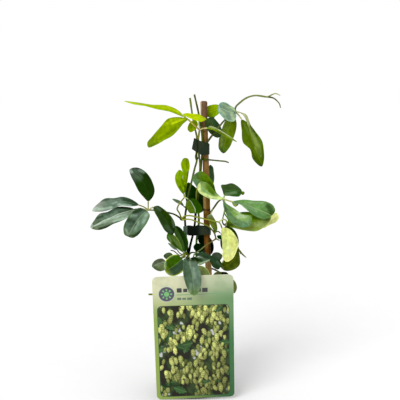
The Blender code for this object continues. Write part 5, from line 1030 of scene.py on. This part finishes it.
def make_cane():
    """The cane: circles whose radius follows the table, with two slow waves and corners that are
    hardly there, a rounded rim at the top and a shallow pith hole."""
    columns, rows, depths, widths = np.array(CANE, float).T
    path = placed(columns, rows, depths * MM)
    x_top, _, top = path[0]
    down = path[::-1, 2]
    z = np.linspace(top - CANE_SHOULDER, path[-1, 2], CANE_RINGS)
    radius = np.interp(z, down, widths[::-1]) * MM
    radius = radius * (1 + 0.012 * np.sin(z / (4.3 * MM)) + 0.01 * np.sin(z / (11 * MM) + 1))
    rim_share, rim_up = np.array(CANE_RIM).T
    z = np.concatenate([top + rim_up * MM, z])[:, None]
    x = np.concatenate([np.full(len(CANE_RIM), x_top), np.interp(z[len(CANE_RIM):, 0], down, path[::-1, 0])])
    radius = np.concatenate([rim_share * widths[0] * MM, radius])[:, None]
    angles = angles_round(CANE_SIDES)
    radius = radius * (1 + 0.018 * np.sin(3 * angles + 1) + 0.012 * np.sin(5 * angles))
    rings = stacked(x[:, None] + radius * np.cos(angles), radius * np.sin(angles), z)
    points = np.vstack([rings.reshape(-1, 3), [[x_top, 0, top - PITH_DEPTH], [x[-1], 0, z[-1, 0]]]])
    return piece("cane_culm", points, shell_faces(len(z), CANE_SIDES), ("cane",), "cane", cane_material())


# Pot, soil, card


def turned(profile, sides):
    """Rings of a profile (radius, height) turned about the pot's axis, with a pole at each end."""
    angles = angles_round(sides)
    radii, heights = np.array(profile, float).T[..., None]
    rings = stacked(radii * np.cos(angles), radii * np.sin(angles), heights)
    points = np.vstack([rings.reshape(-1, 3), [[0, 0, heights[0, 0]], [0, 0, heights[-1, 0]]]])
    return points, shell_faces(len(profile), sides)


def make_pot():
    """A tapered plastic pot: foot with a rounded edge, plain wall, rolled lip, thin inner wall."""
    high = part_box("pot")[1]
    height, lip = high.z / MM, high.x / MM
    foot, wall_depth, top = POT_FOOT / MM, POT_WALL / MM, lip - POT_LIP / MM
    lip_base = height - POT_LIP_DEPTH / MM

    def wall(z, inside=0.0):
        return foot + (top - foot) * z / height - inside, z

    profile = [
        (foot * 0.3, 0.5), (foot - 4, 0.5), (foot - 3, 0), (foot - 1.2, 0), (foot - 0.4, 0.3), (foot, 1.2),
        *(wall(z) for z in np.linspace(6, lip_base - 1, 12)),
        wall(lip_base), (lip - 1, lip_base + 0.3), (lip - 0.2, lip_base + 0.9), (lip, lip_base + 1.8),
        (lip, height - 1.4), (lip - 0.25, height - 0.5), (lip - 0.8, height),
        (top - wall_depth + 0.8, height), (top - wall_depth, height - 0.8),
        *(wall(z, wall_depth) for z in np.linspace(height - 8, 5, 12)),
        (foot - wall_depth - 1, 2 * wall_depth), (foot * 0.3, 2 * wall_depth),
    ]
    points, faces = turned(profile, POT_SIDES)
    pot = piece("pot_shell", points * MM, faces, ("pot",), "pot", pot_material(), sharp=40)
    for i in range(DRAIN_HOLES):
        angle = 2 * math.pi * (i / DRAIN_HOLES + DRAIN_START)
        bore, sides = turned([(DRAIN_RADIUS, -4 * MM), (DRAIN_RADIUS, 4 * MM)], DRAIN_SIDES)
        bore = bore + np.array([math.cos(angle), math.sin(angle), 0]) * POT_FOOT * DRAIN_REACH
        cutter = piece(f"drain_cutter_{i}", bore, sides)
        cutter.hide_render = True
        cutter.hide_viewport = True
        cutter.display_type = "WIRE"
        cut = pot.modifiers.new(f"drain hole {i}", "BOOLEAN")
        cut.operation = "DIFFERENCE"
        cut.solver = "EXACT"
        cut.object = cutter
    return pot


def soil_height(x, y, top):
    """The soil's height: broad waves and finer lumps below the top, and lower towards the wall."""
    reach = np.hypot(x, y) / SOIL_REACH
    x, y = x / MM, y / MM
    broad = 0.5 + 0.25 * np.sin(x / 5.1 + 1.3) * np.cos(y / 6.3) + 0.25 * np.sin((x + y) / 8.7)
    fine = np.sin(x / 1.3 + np.sin(y / 1.9)) * np.sin(y / 1.1 + np.sin(x / 2.3))
    return top - (0.9 * broad + 0.25 * fine + 1.2 * reach**4) * MM


def make_soil():
    """The potting mix: a plug, from its flat underside up to its uneven top."""
    low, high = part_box("soil")
    share = np.linspace(1, 0.02, SOIL_RINGS)[:, None]
    angles = angles_round(SOIL_SIDES)
    x, y = share * high.x * np.cos(angles), share * high.x * np.sin(angles)
    rings = stacked(x, y, soil_height(x, y, high.z)).reshape(-1, 3)
    foot_radius = high.x - SOIL_TAPER
    foot = stacked(foot_radius * np.cos(angles), foot_radius * np.sin(angles), low.z)
    points = np.vstack([foot, rings, [[0, 0, low.z], [0, 0, soil_height(0, 0, high.z)]]])
    faces = shell_faces(SOIL_RINGS + 1, SOIL_SIDES)
    return piece("soil_plug", points, faces, ("soil",), "soil", soil_material(), sharp=60)


def make_crumbs():
    """Crumbs and bits of bark strewn over the soil: eight-sided grains, stretched and uneven."""
    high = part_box("soil")[1]
    draw = np.random.default_rng(CRUMB_SEED)
    spread = np.sqrt(draw.uniform(0, 1, CRUMBS)) * (high.x - CRUMB_MARGIN)
    turn = draw.uniform(0, 2 * math.pi, CRUMBS)
    x, y = spread * np.cos(turn), spread * np.sin(turn)
    size = draw.gamma(3.0, 0.22, CRUMBS) * MM + 0.3 * MM
    centre = stacked(x, y, soil_height(x, y, high.z) + size * 0.25)
    corners = np.array([(1, 0, 0), (-1, 0, 0), (0, 1, 0), (0, -1, 0), (0, 0, 1), (0, 0, -1)], float)
    stretch = draw.uniform(0.6, 1.4, (CRUMBS, 1, 3)) * np.array([1, 1, 0.6])
    jitter = draw.uniform(-0.25, 0.25, (CRUMBS, 6, 3))
    crumbs = centre[:, None] + (corners * stretch + jitter) * size[:, None, None]
    sides = ((0, 2, 4), (2, 1, 4), (1, 3, 4), (3, 0, 4), (2, 0, 5), (1, 2, 5), (3, 1, 5), (0, 3, 5))
    points, faces = joined((crumb, sides) for crumb in crumbs)
    shade = draw.uniform(0.5, 1.9, CRUMBS)[:, None] * daylight((66, 48, 34))
    shade[::PALE_CRUMBS] = daylight((150, 140, 120))
    colours = np.repeat(shade, len(corners), axis=0)
    return piece("soil_crumbs", points, faces, (), "soil", crumb_material(), colours, sharp=20)


def card_frame():
    """The card's centre, swing, lean and turn, with its face towards the front."""
    turn = Matrix.Rotation(-CARD_TURN, 4, "Y")
    lean = Matrix.Rotation(CARD_LEAN, 4, "X")
    swing = Matrix.Rotation(CARD_SWING, 4, "Z")
    return np.array(Matrix.Translation(Vector(CARD_CENTRE) * MM) @ swing @ lean @ turn)


def on_card(flat):
    """Points of the card, in millimetres from its centre, in their place in the scene."""
    frame = card_frame()
    return flat * MM @ frame[:3, :3].T + frame[:3, 3]


def card_ring(shrink, depth):
    """A rectangle with round corners, drawn in by shrink, round the card at this depth."""
    corner = np.arange(4)[:, None]
    angles = math.pi / 2 * (corner + np.linspace(0, 1, CARD_CORNER_POINTS))
    right = np.where((corner == 0) | (corner == 3), 1, -1)
    high = np.where(corner < 2, 1, -1)
    x = right * (CARD_WIDTH / 2 - CARD_CORNER) + (CARD_CORNER - shrink) * np.cos(angles)
    z = high * (CARD_HEIGHT / 2 - CARD_CORNER) + (CARD_CORNER - shrink) * np.sin(angles)
    return stacked(x, depth, z).reshape(-1, 3)


def card_tongue():
    """A strip that rises from the card's top edge, turns over and runs down behind into the pot: a
    flat ring with cut corners, carried along the tongue's path."""
    path = along(TONGUE_PATH, np.linspace(0, 1, TONGUE_RINGS))
    tangents = unit(np.gradient(path, axis=0))
    normals = stacked(-tangents[:, 1], tangents[:, 0])
    wide, thick = np.array(TONGUE_SECTION).T
    across = TONGUE_X + wide * TONGUE_WIDTH / 2
    depth_height = path[:, None] + normals[:, None] * thick[:, None] * CARD_THICKNESS / 2
    strip = stacked(across, depth_height[..., 0], depth_height[..., 1]) * MM
    points = np.vstack([strip.reshape(-1, 3), strip[0].mean(0), strip[-1].mean(0)])
    middle = np.array(CARD_CENTRE) * MM
    swing = np.array(Matrix.Rotation(CARD_SWING, 3, "Z"))
    return (points - middle) @ swing.T + middle, shell_faces(TONGUE_RINGS, len(TONGUE_SECTION))


def make_card():
    """The card: its outline carried from the face, round the edge, to the back; then its tongue.
    Only the face is printed."""
    half = CARD_THICKNESS / 2
    rings = [card_ring(shrink, depth * half) for shrink, depth in CARD_EDGE]
    flat = np.vstack([*rings, [[0, -half, 0], [0, half, 0]]])
    sheet_faces = shell_faces(len(rings), len(rings[0]))
    tongue, tongue_faces = card_tongue()
    points, faces = joined([(on_card(flat), sheet_faces), (tongue, tongue_faces)])
    uv = flat[:, [0, 2]] / np.array([CARD_WIDTH, CARD_HEIGHT]) + 0.5
    uv = np.vstack([uv, np.full((len(tongue), 2), (0.5, 0.985))])
    card = piece("label_card_print", points, faces, ("label_card",), "card", card_face_material(),
                 uv=uv, sharp=30)
    card.data.materials.append(card_back_material())
    normals = np.empty(len(card.data.polygons) * 3, np.float32)
    card.data.polygons.foreach_get("normal", normals)
    on_face = normals.reshape(-1, 3) @ card_frame()[:3, 1] < -0.9
    on_face[len(sheet_faces):] = False
    card.data.polygons.foreach_set("material_index", np.where(on_face, 0, 1).astype(np.int32))
    return card


def make_picture():
    """The picture on the card: a grid over a rectangle with round corners, whose rows are narrower
    where the corners are, its edge carried back round the rim of a layer as thin as ink."""
    cx, cz, wide, high = PICTURE_BLOCK
    down = np.linspace(high, -high, PICTURE_ROWS + 1)[:, None]
    past = np.clip(np.abs(down) - (high - PICTURE_CORNER), 0, PICTURE_CORNER)
    reach = wide - PICTURE_CORNER + np.sqrt(PICTURE_CORNER**2 - past**2)
    x = cx + reach * np.linspace(-1, 1, PICTURE_COLUMNS + 1)
    z = np.broadcast_to(cz + down, x.shape)
    tints = picture_tints(x - cx, z - cz).reshape(-1, 3)
    index = np.arange(x.size).reshape(x.shape)
    faces = stacked(index[:-1, :-1], index[:-1, 1:], index[1:, 1:], index[1:, :-1]).reshape(-1, 4).tolist()
    edge = np.concatenate([index[0], index[1:, -1], index[-1, -2::-1], index[-2:0:-1, 0]])
    front = stacked(x, -CARD_THICKNESS / 2 - PICTURE_INK, z).reshape(-1, 3)
    behind = front[edge] + [0, 2 * PICTURE_INK, 0]
    rim = x.size + np.arange(len(edge))
    faces += stacked(edge, rim, np.roll(rim, -1), np.roll(edge, -1)).tolist() + [rim.tolist()]
    points, colours = on_card(np.vstack([front, behind])), np.vstack([tints, tints[edge]])
    return piece("label_card_picture", points, faces, (), "card", picture_material(), colours, sharp=30)


def along_and_across(x, z, centre, turn):
    """How far points lie from a centre, along a line turned by this angle and across it."""
    x, z = x - centre[0], z - centre[1]
    return x * math.cos(turn) + z * math.sin(turn), z * math.cos(turn) - x * math.sin(turn)


def picture_tints(x, z):
    """Seed cones that hang among leaves, one over the other from the back to the front. A cone is an
    egg, wider above, with rows of scales that part at half steps; a leaf is a pointed oval with a
    midrib; both darken what is just behind them, and are lit from the upper left."""
    draw = np.random.default_rng(PICTURE_SEED)
    patch = np.sin(x / 6.1 + 1) * np.cos(z / 8.3) + 0.6 * np.sin(x / 3.3 - z / 4.7)
    patch = patch + 0.3 * np.sin(x / 1.3 + z / 1.9)
    colour = painted(daylight((40, 38, 30)), smooth_step(-0.4, 0.9, patch), daylight((56, 74, 42)))
    colour = painted(colour, smooth_step(1.05, 1.25, patch), daylight((188, 190, 186)))
    wide, high = PICTURE_BLOCK[2:]
    for _ in range(PICTURE_LEAVES):
        centre = draw.uniform(-wide, wide), draw.uniform(-high, high)
        turn, length = draw.uniform(0, 2 * math.pi), draw.uniform(4.5, 9)
        u, v = along_and_across(x, z, centre, turn)
        u, v = u / length, v / (0.55 * length)
        gap = np.clip(1 - u**2, 0, 1) * (1 + 0.16 * np.sin(14 * u)) - np.abs(v)
        colour = painted(colour, 0.5 * smooth_step(-0.3, 0.05, gap) * (np.abs(u) < 1.05), 0)
        tint = daylight((58, 92, 50)) * (0.45 + 0.7 * draw.random() - 0.3 * v[..., None])
        tint = painted(tint, 0.4 * smooth_step(0.1, 0.03, np.abs(v)), daylight((134, 160, 110)))
        colour = painted(colour, smooth_step(0, 0.08, gap) * (np.abs(u) < 1), tint)
    bunches = draw.uniform((-wide, -high), (wide, high), (PICTURE_BUNCHES, 2))
    for share in np.arange(PICTURE_CONES) / PICTURE_CONES:
        centre = bunches[draw.integers(PICTURE_BUNCHES)] + draw.normal(0, (4.2, 6.2))
        half, turn = draw.uniform(1.8, 3.2), draw.normal(0, 0.25)
        tall = half * draw.uniform(1.25, 1.75)
        u, v = along_and_across(x, z, centre, turn)
        u, v = u / half, v / tall
        gap = np.sqrt(np.clip(1 - v**2, 0, 1)) * (0.84 + 0.18 * v) - np.abs(u) + 0.09 * np.sin(11 * v)
        column = 1.5 * u + 0.5 * np.floor(2.2 * v)
        scale = 1.45 - 1.15 * ((2.2 * v + 0.9 * np.abs(column % 1 - 0.5)) % 1)
        bulge = 0.75 * np.sqrt(np.clip(1 - u**2 - 0.5 * v**2, 0, 1))
        light = np.clip(0.25 + bulge - 0.3 * u + 0.2 * v, 0.1, 1.2)
        dim = 1.1 - 0.5 * smooth_step(-20, 60, centre[0] - centre[1])
        near = 0.7 * smooth_step(-0.45, 0.1, gap) * (np.abs(v) < 1.2)
        colour = painted(colour, near, daylight((28, 30, 14)))
        tint = painted(daylight((84, 98, 40)), share, daylight((214, 220, 128)))
        tint = tint * (scale * light * dim * draw.uniform(0.7, 1.15))[..., None]
        colour = painted(colour, smooth_step(0, 0.12, gap) * (np.abs(v) < 1), tint)
    return colour


# Materials


class Wire:
    """A node's output, and the maths nodes that take it on."""

    def __init__(self, paint, socket):
        self.paint, self.socket = paint, socket

    def maths(self, operation, other=0.0):
        return self.paint.wired("ShaderNodeMath", (self, other), operation=operation)

    def __add__(self, other):
        return self.maths("ADD", other)

    def __sub__(self, other):
        return self.maths("SUBTRACT", other)

    def __mul__(self, other):
        return self.maths("MULTIPLY", other)

    def __abs__(self):
        return self.maths("ABSOLUTE")


class Paint:
    """A material: its node tree, with short calls for the nodes that this scene uses, and the colour
    that it has so far."""

    def __init__(self, name, base=None):
        self.material = bpy.data.materials.new(name)
        self.material.use_nodes = True
        self.tree = self.material.node_tree
        self.shader = self.tree.nodes["Principled BSDF"]
        self.base = (*daylight(base), 1) if base else None

    def plug(self, socket, value):
        """Links value, if it is another node's output, or writes it into the socket."""
        if isinstance(value, Wire):
            self.tree.links.new(value.socket, socket)
        else:
            socket.default_value = value

    def wired(self, kind, values, output=0, **settings):
        """The output of a new node with these settings and with these values in its sockets."""
        made = self.tree.nodes.new(kind)
        for key, value in settings.items():
            setattr(made, key, value)
        for key, value in values.items() if isinstance(values, dict) else enumerate(values):
            self.plug(made.inputs[key], value)
        return Wire(self, made.outputs[output])

    def place(self, stretch=(1, 1, 1)):
        """Object coordinates, stretched."""
        source = self.wired("ShaderNodeTexCoord", (), "Object")
        return self.wired("ShaderNodeMapping", {"Vector": source, "Scale": stretch})

    def own_map(self):
        """The piece's own map: along it, and across it."""
        return self.wired("ShaderNodeUVMap", (), uv_map="blade")

    def tint(self):
        """The colour that each point of the piece carries."""
        return self.wired("ShaderNodeAttribute", (), "Color", attribute_name="tint")

    def split(self, vector):
        first = self.wired("ShaderNodeSeparateXYZ", (vector,))
        return [Wire(self, socket) for socket in first.socket.node.outputs]

    def noise(self, vector, scale, detail=3.0, roughness=0.55):
        return self.wired("ShaderNodeTexNoise",
                          {"Vector": vector, "Scale": scale, "Detail": detail, "Roughness": roughness})

    def cells(self, vector, scale):
        return self.wired("ShaderNodeTexVoronoi", {"Vector": vector, "Scale": scale})

    def ramp(self, value, low, high, start=0.0, end=1.0):
        return self.wired("ShaderNodeMapRange", (value, low, high, start, end),
                          interpolation_type="SMOOTHSTEP")

    def mix(self, share, first, second, blend="MIX"):
        return self.wired("ShaderNodeMix", {0: share, 6: first, 7: second}, 2,
                          data_type="RGBA", blend_type=blend)

    def coat(self, share, seen):
        """Lays a colour over what is there, as much of it as share says."""
        self.base = self.mix(share, self.base, (*daylight(seen), 1))

    def filter(self, share, light):
        """Multiplies the colour by three numbers, or by one value for all three."""
        if isinstance(light, Wire):
            light = self.wired("ShaderNodeCombineColor", (light, light, light))
        else:
            light = (*light, 1)
        self.base = self.mix(share, self.base, light, "MULTIPLY")

    def done(self, rough, mirror, height=None, strength=0.0, depth=0.0):
        """The finished material: its roughness, how much it mirrors, and a bump that follows height."""
        shader = {"Base Color": self.base, "Roughness": rough, "Specular IOR Level": mirror}
        if height:
            bump = {"Strength": strength, "Distance": depth, "Height": height}
            shader["Normal"] = self.wired("ShaderNodeBump", bump)
        for key, value in shader.items():
            self.plug(self.shader.inputs[key], value)
        return self.material


def leaf_material(name):
    """A leaflet: its tint, which holds its own colour with painted shade and sheen, with mottling, a
    midrib, side veins that sweep towards the tip, a faint rim, and a waxy gloss broken by fine bumps."""
    paint = Paint(f"{name} leaf")
    t, across, _ = paint.split(paint.own_map())
    off = abs(across * 2 - 1)
    midrib = paint.ramp(off, 0.018, 0.06, 1.0, 0.0)
    wave = ((t - off * VEIN_SWEEP) * (2 * math.pi * SIDE_VEINS)).maths("SINE")
    veins = paint.ramp(wave, 0.8, 1.0) * paint.ramp(off, 0.9, 0.75)
    place = paint.place()
    mottle = paint.ramp(paint.noise(place, 260, 4), 0.3, 0.7, 0.82, 1.16)
    paint.base = paint.tint()
    paint.filter(1.0, mottle)
    paint.filter(veins * 0.12, (1.7, 1.6, 1.7))
    rib_colour = LEAF_COLOURS[name][3]
    if rib_colour:
        paint.coat(midrib * 0.85, rib_colour)
    else:
        paint.filter(midrib, (1.3, 1.2, 1.3))
    paint.filter(paint.ramp(off, 0.955, 1.0), (1.35, 1.3, 1.3))
    rough, mirror = GLOSS[name.split("_")[0]]
    rough = paint.ramp(mottle, 0.82, 1.16, rough - 0.05, rough + 0.1)
    height = veins * -0.5 + paint.noise(place, 1500, 2) * 0.35
    return paint.done(rough, mirror, height, 0.25, 0.15 * MM)


@cache
def stem_material():
    paint = Paint("green stem")
    streak = paint.ramp(paint.noise(paint.place((1, 1, 0.12)), 1500, 3), 0.3, 0.7, 0.75, 1.25)
    patch = paint.ramp(paint.noise(paint.place(), 160, 3), 0.3, 0.7, 0.85, 1.15)
    paint.base = paint.tint()
    paint.filter(1.0, streak)
    paint.filter(1.0, patch)
    return paint.done(0.6, 0.0, streak, 0.3, 0.15 * MM)


@cache
def clip_material():
    """Dark plastic: painted shade in the lower clip's middle and along a fold, and a painted highlight
    on its pale left wing.
    """
    paint = Paint("dark clip plastic", (36, 48, 34))
    x, _, z = paint.split(paint.place())
    paint.coat(paint.ramp(paint.noise(paint.place(), 130, 2), 0.4, 0.62), (46, 52, 36))
    # painted shade: the lower clip's middle darkened
    paint.coat(paint.ramp(z, 0.24, 0.23) * paint.ramp(x, 8 * MM, 2 * MM), (6, 13, 6))
    # painted highlight: the pale left wing of the lower clip
    paint.coat(paint.ramp(x, -7.6 * MM, -8.2 * MM), (70, 88, 74))
    # painted shade along the fold between the band's loops
    paint.coat(paint.ramp(abs(x - 3.4 * MM), 1.3 * MM, 0.5 * MM, 0.0, 0.7), (14, 20, 12))
    grain = paint.noise(paint.place(), 2600, 2)
    paint.coat(paint.ramp(grain, 0.5, 0.8, 0.0, 0.14), (46, 56, 44))
    return paint.done(paint.ramp(grain, 0.3, 0.7, 0.4, 0.58), 0.04, grain, 0.25, 0.1 * MM)


@cache
def cane_material():
    """Bamboo: pinkish brown and speckled at the top, warmer below, with painted highlights on its left
    side and painted shade at its right, long fibres and dark nodes."""
    paint = Paint("bamboo cane", (184, 150, 94))
    x, _, z = paint.split(paint.place())
    fibres = paint.noise(paint.place((1, 1, 0.03)), 1700, 4, 0.7)
    blotch = paint.noise(paint.place((1, 1, 0.35)), 230, 4)
    for low, high, seen in CANE_BANDS:
        paint.coat(paint.ramp(z, low, high), seen)
    paint.coat(paint.ramp(fibres, 0.42, 0.64, 0.0, 0.4), (72, 46, 16))
    paint.coat(paint.ramp(blotch, 0.55, 0.75, 0.0, 0.25), (166, 134, 80))
    # painted highlight: the lit left edge near the top
    lit = paint.ramp(x, CANE_LIT_X + 0.9 * MM, CANE_LIT_X)
    paint.coat(lit * paint.ramp(z, 0.285, 0.31, 0.25, 0.75), (226, 196, 146))
    # painted highlight: the left side paler over the middle of the cane
    pale = paint.ramp(x, 13.6 * MM, 10.6 * MM) * paint.ramp(z, 0.202, 0.21)
    paint.coat(pale * paint.ramp(z, 0.232, 0.222, 0.0, 0.7), (182, 150, 98))
    # painted shade: the right side darker lower down, where leaves shade it
    shade = paint.ramp(x, 14.6 * MM, 16.4 * MM) * paint.ramp(z, 0.188, 0.18)
    paint.coat(shade * paint.ramp(z, 0.15, 0.158, 0.0, 0.75), (48, 32, 2))
    speck = paint.cells(paint.place((1, 1, 0.5)), 420)
    paint.coat(paint.ramp(speck, 0.2, 0.06, 0.0, 0.7), (60, 34, 18))
    for height in NODE_HEIGHTS:
        band = paint.ramp(abs(z - height * MM), 0.4 * MM, 1.7 * MM, 1.0, 0.0)
        paint.coat(band * paint.ramp(blotch, 0.3, 0.5, 0.35, 1.0) * 0.9, (52, 30, 16))
    return paint.done(paint.ramp(fibres, 0.3, 0.7, 0.5, 0.72), 0.03, fibres + speck * 0.5, 0.45, 0.25 * MM)


@cache
def pot_material():
    """Black plastic, dusty low down, with the fine rings of its mould."""
    paint = Paint("black pot plastic", (38, 38, 40))
    _, _, z = paint.split(paint.place())
    dust = paint.noise(paint.place((1, 1, 0.4)), 60, 5)
    paint.coat(paint.ramp(dust, 0.45, 0.75, 0.0, 0.35) * paint.ramp(z, 0.06, 0.0, 0.3, 1.0), (92, 80, 66))
    rings = (z * (2 * math.pi / POT_RING)).maths("SINE")
    height = paint.noise(paint.place(), 1400, 3) + rings * 0.12
    return paint.done(paint.ramp(dust, 0.35, 0.7, 0.4, 0.62), 0.45, height, 0.3, 0.12 * MM)


@cache
def soil_material():
    paint = Paint("potting mix", (34, 24, 18))
    lumps = paint.noise(paint.place(), 420, 6, 0.65)
    paint.coat(paint.ramp(lumps, 0.35, 0.65), (84, 60, 42))
    paint.coat(paint.ramp(paint.cells(paint.place((1, 0.3, 1)), 700), 0.1, 0.02, 0.0, 0.5), (140, 112, 80))
    return paint.done(0.92, 0.25, lumps, 0.9, 1.2 * MM)


def tinted(name, scale, dim, bright, rough, mirror, strength, depth):
    """A material in the piece's own tints, with grain between dim and bright."""
    paint = Paint(name)
    grain = paint.noise(paint.place(), scale, 3)
    paint.base = paint.tint()
    paint.filter(1.0, paint.ramp(grain, 0.3, 0.7, dim, bright))
    return paint.done(rough, mirror, grain, strength, depth)


@cache
def crumb_material():
    return tinted("soil crumbs", 2200, 0.7, 1.3, 0.9, 0.25, 0.6, 0.3 * MM)


@cache
def picture_material():
    return tinted("card picture print", 1400, 0.86, 1.14, 0.4, 0.12, 0.06, 0.1 * MM)


@cache
def card_back_material():
    paint = Paint("card back", (214, 210, 188))
    grain = paint.noise(paint.place(), 700, 3)
    paint.coat(paint.ramp(grain, 0.35, 0.65), (226, 223, 204))
    return paint.done(0.45, 0.45, grain, 0.08, 0.1 * MM)


def distance(dx, dz):
    return (dx * dx + dz * dz).maths("SQRT")


def block_mask(paint, x, z, block, corner, soft=0.12):
    """1 inside a rectangle with round corners, 0 outside: how far a point lies beyond the inner
    rectangle that the corners are centred on, against the corner's radius."""
    cx, cz, wide, high = block
    dx = (abs(x - cx) - (wide - corner)).maths("MAXIMUM")
    dz = (abs(z - cz) - (high - corner)).maths("MAXIMUM")
    return paint.ramp(distance(dx, dz), corner + soft, corner - soft)


def disc_mask(paint, x, z, radius, soft=0.15):
    """1 inside a disc round the badge's centre, 0 outside."""
    reach = distance(x - BADGE_CENTRE[0], z - BADGE_CENTRE[1])
    return paint.ramp(reach, radius + soft, radius - soft)


def sun_mask(paint, x, z):
    """A plain sun: a disc, and a ring of short rays round it, cut by the cosine of as many times the
    angle as there are rays."""
    dx, dz = x - BADGE_CENTRE[0], z - BADGE_CENTRE[1]
    reach = distance(dx, dz)
    rays = paint.ramp((dz.maths("ARCTAN2", dx) * SUN_RAYS).maths("COSINE"), 0.1, 0.35)
    ring = paint.ramp(reach, 3.5, 3.8) * paint.ramp(reach, 6.1, 5.8)
    return paint.ramp(reach, 2.9, 2.6).maths("MAXIMUM", rays * ring)


def card_face_material():
    """The card's face: cream at the top, fading down to yellow green at the left and deep green at
    the right; a dark badge with a plain sun; bars for words; and the dark line round the picture."""
    paint = Paint("card print", (134, 158, 62))
    u, v, _ = paint.split(paint.own_map())
    x = (u - 0.5) * CARD_WIDTH
    z = (v - 0.5) * CARD_HEIGHT
    paint.coat(paint.ramp(z, 20, 70), (216, 214, 178))
    left = paint.base
    paint.base = (*daylight((14, 88, 28)), 1)
    for low, high, seen in CARD_FADES:
        paint.coat(paint.ramp(z, low, high), seen)
    paint.base = paint.mix(paint.ramp(x, -38, 42), left, paint.base)
    cloud = paint.noise(paint.wired("ShaderNodeCombineXYZ", (x, z)), 0.05, 2)
    paint.coat(paint.ramp(cloud, 0.45, 0.7, 0.0, 0.3) * paint.ramp(z, 10, 40, 0.15, 1.0), (100, 142, 92))
    cx, cz, wide, high = PICTURE_BLOCK
    frame = (cx, cz, wide + PICTURE_EDGE, high + PICTURE_EDGE)
    paint.coat(block_mask(paint, x, z, frame, PICTURE_CORNER), (36, 66, 48))
    paint.coat(disc_mask(paint, x, z, BADGE_RADIUS + 0.5), (176, 190, 178))
    paint.coat(disc_mask(paint, x, z, BADGE_RADIUS), (72, 68, 84))
    paint.coat(sun_mask(paint, x, z), (112, 176, 108))
    for blocks, corner, seen in ((TITLE_BLOCKS, 0.6, (40, 44, 42)), (NOTE_BLOCKS, 0.5, (92, 112, 90)),
                                 ([RULE_BLOCK], 0.2, (104, 152, 106))):
        for block in blocks:
            paint.coat(block_mask(paint, x, z, block, corner), seen)
    paint.shader.inputs["Coat Weight"].default_value = 0.25
    paint.shader.inputs["Coat Roughness"].default_value = 0.18
    return paint.done(0.34, 0.5, paint.noise(paint.place(), 900, 2), 0.06, 0.1 * MM)


# Stage


def make_floor():
    mesh = bpy.data.meshes.new("floor")
    corners = [(x * FLOOR_REACH, y * FLOOR_REACH, 0) for x, y in ((-1, -1), (1, -1), (1, 1), (-1, 1))]
    mesh.from_pydata(corners, [], [(0, 1, 2, 3)])
    paint = Paint("pale floor")
    paint.base = paint.mix(paint.noise(paint.place(), 30, 2), (0.9, 0.9, 0.9, 1), (0.92, 0.92, 0.92, 1))
    mesh.materials.append(paint.done(0.9, 0.1))
    floor = linked("floor", mesh)


def make_lights():
    """A white studio, plain white to the camera and dimmer to the plant, and soft suns."""
    world = bpy.data.worlds.new("white studio")
    world.use_nodes = True
    tree = world.node_tree
    light = tree.nodes["Background"].inputs
    light["Color"].default_value = (1, 1, 1, 1)
    path = tree.nodes.new("ShaderNodeLightPath")
    share = tree.nodes.new("ShaderNodeMapRange")
    share.inputs["To Min"].default_value = WORLD_LIGHT
    tree.links.new(path.outputs["Is Camera Ray"], share.inputs["Value"])
    tree.links.new(share.outputs[0], light["Strength"])
    bpy.context.scene.world = world
    for name, energy, spread, source in LIGHTS:
        lamp = bpy.data.lights.new(name, "SUN")
        lamp.energy = energy
        lamp.angle = math.radians(spread)
        linked(name, lamp).rotation_euler = Vector(source).to_track_quat("Z", "Y").to_euler()


def make_camera():
    """The camera, at the drawing's eye."""
    camera = linked("camera", bpy.data.cameras.new("camera"))
    camera.data.sensor_width = SENSOR_WIDTH
    camera.data.lens = SENSOR_WIDTH * VIEW_DISTANCE / (FRAME_CELLS * GRID)
    camera.data.clip_end = VIEW_END
    aim = VIEW_DISTANCE * np.array([0, math.cos(VIEW_ELEVATION), -math.sin(VIEW_ELEVATION)])
    camera.location = VIEW_TARGET - aim
    camera.rotation_euler = Vector(aim).to_track_quat("-Z", "Y").to_euler()
    bpy.context.scene.camera = camera
    bpy.context.scene.view_settings.view_transform = "Standard"


def main():
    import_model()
    for make in (make_floor, make_lights, make_camera, make_pot, make_soil, make_crumbs, make_cane,
                 make_card, make_picture):
        make()
    for name, ring in CLIPS.items():
        make_clip(name, ring)
    for name, tubes in STEMS.items():
        make_stem(name, tubes, STEM_COLOURS[name], (name,), "stem")
    for name, slot, tubes, shades in TWIGS:
        make_stem(name, tubes, shades, (), slot)
    make_knots()
    for name, row in (LEAFLETS | SCRAPS).items():
        make_leaflet(name, row)


main()
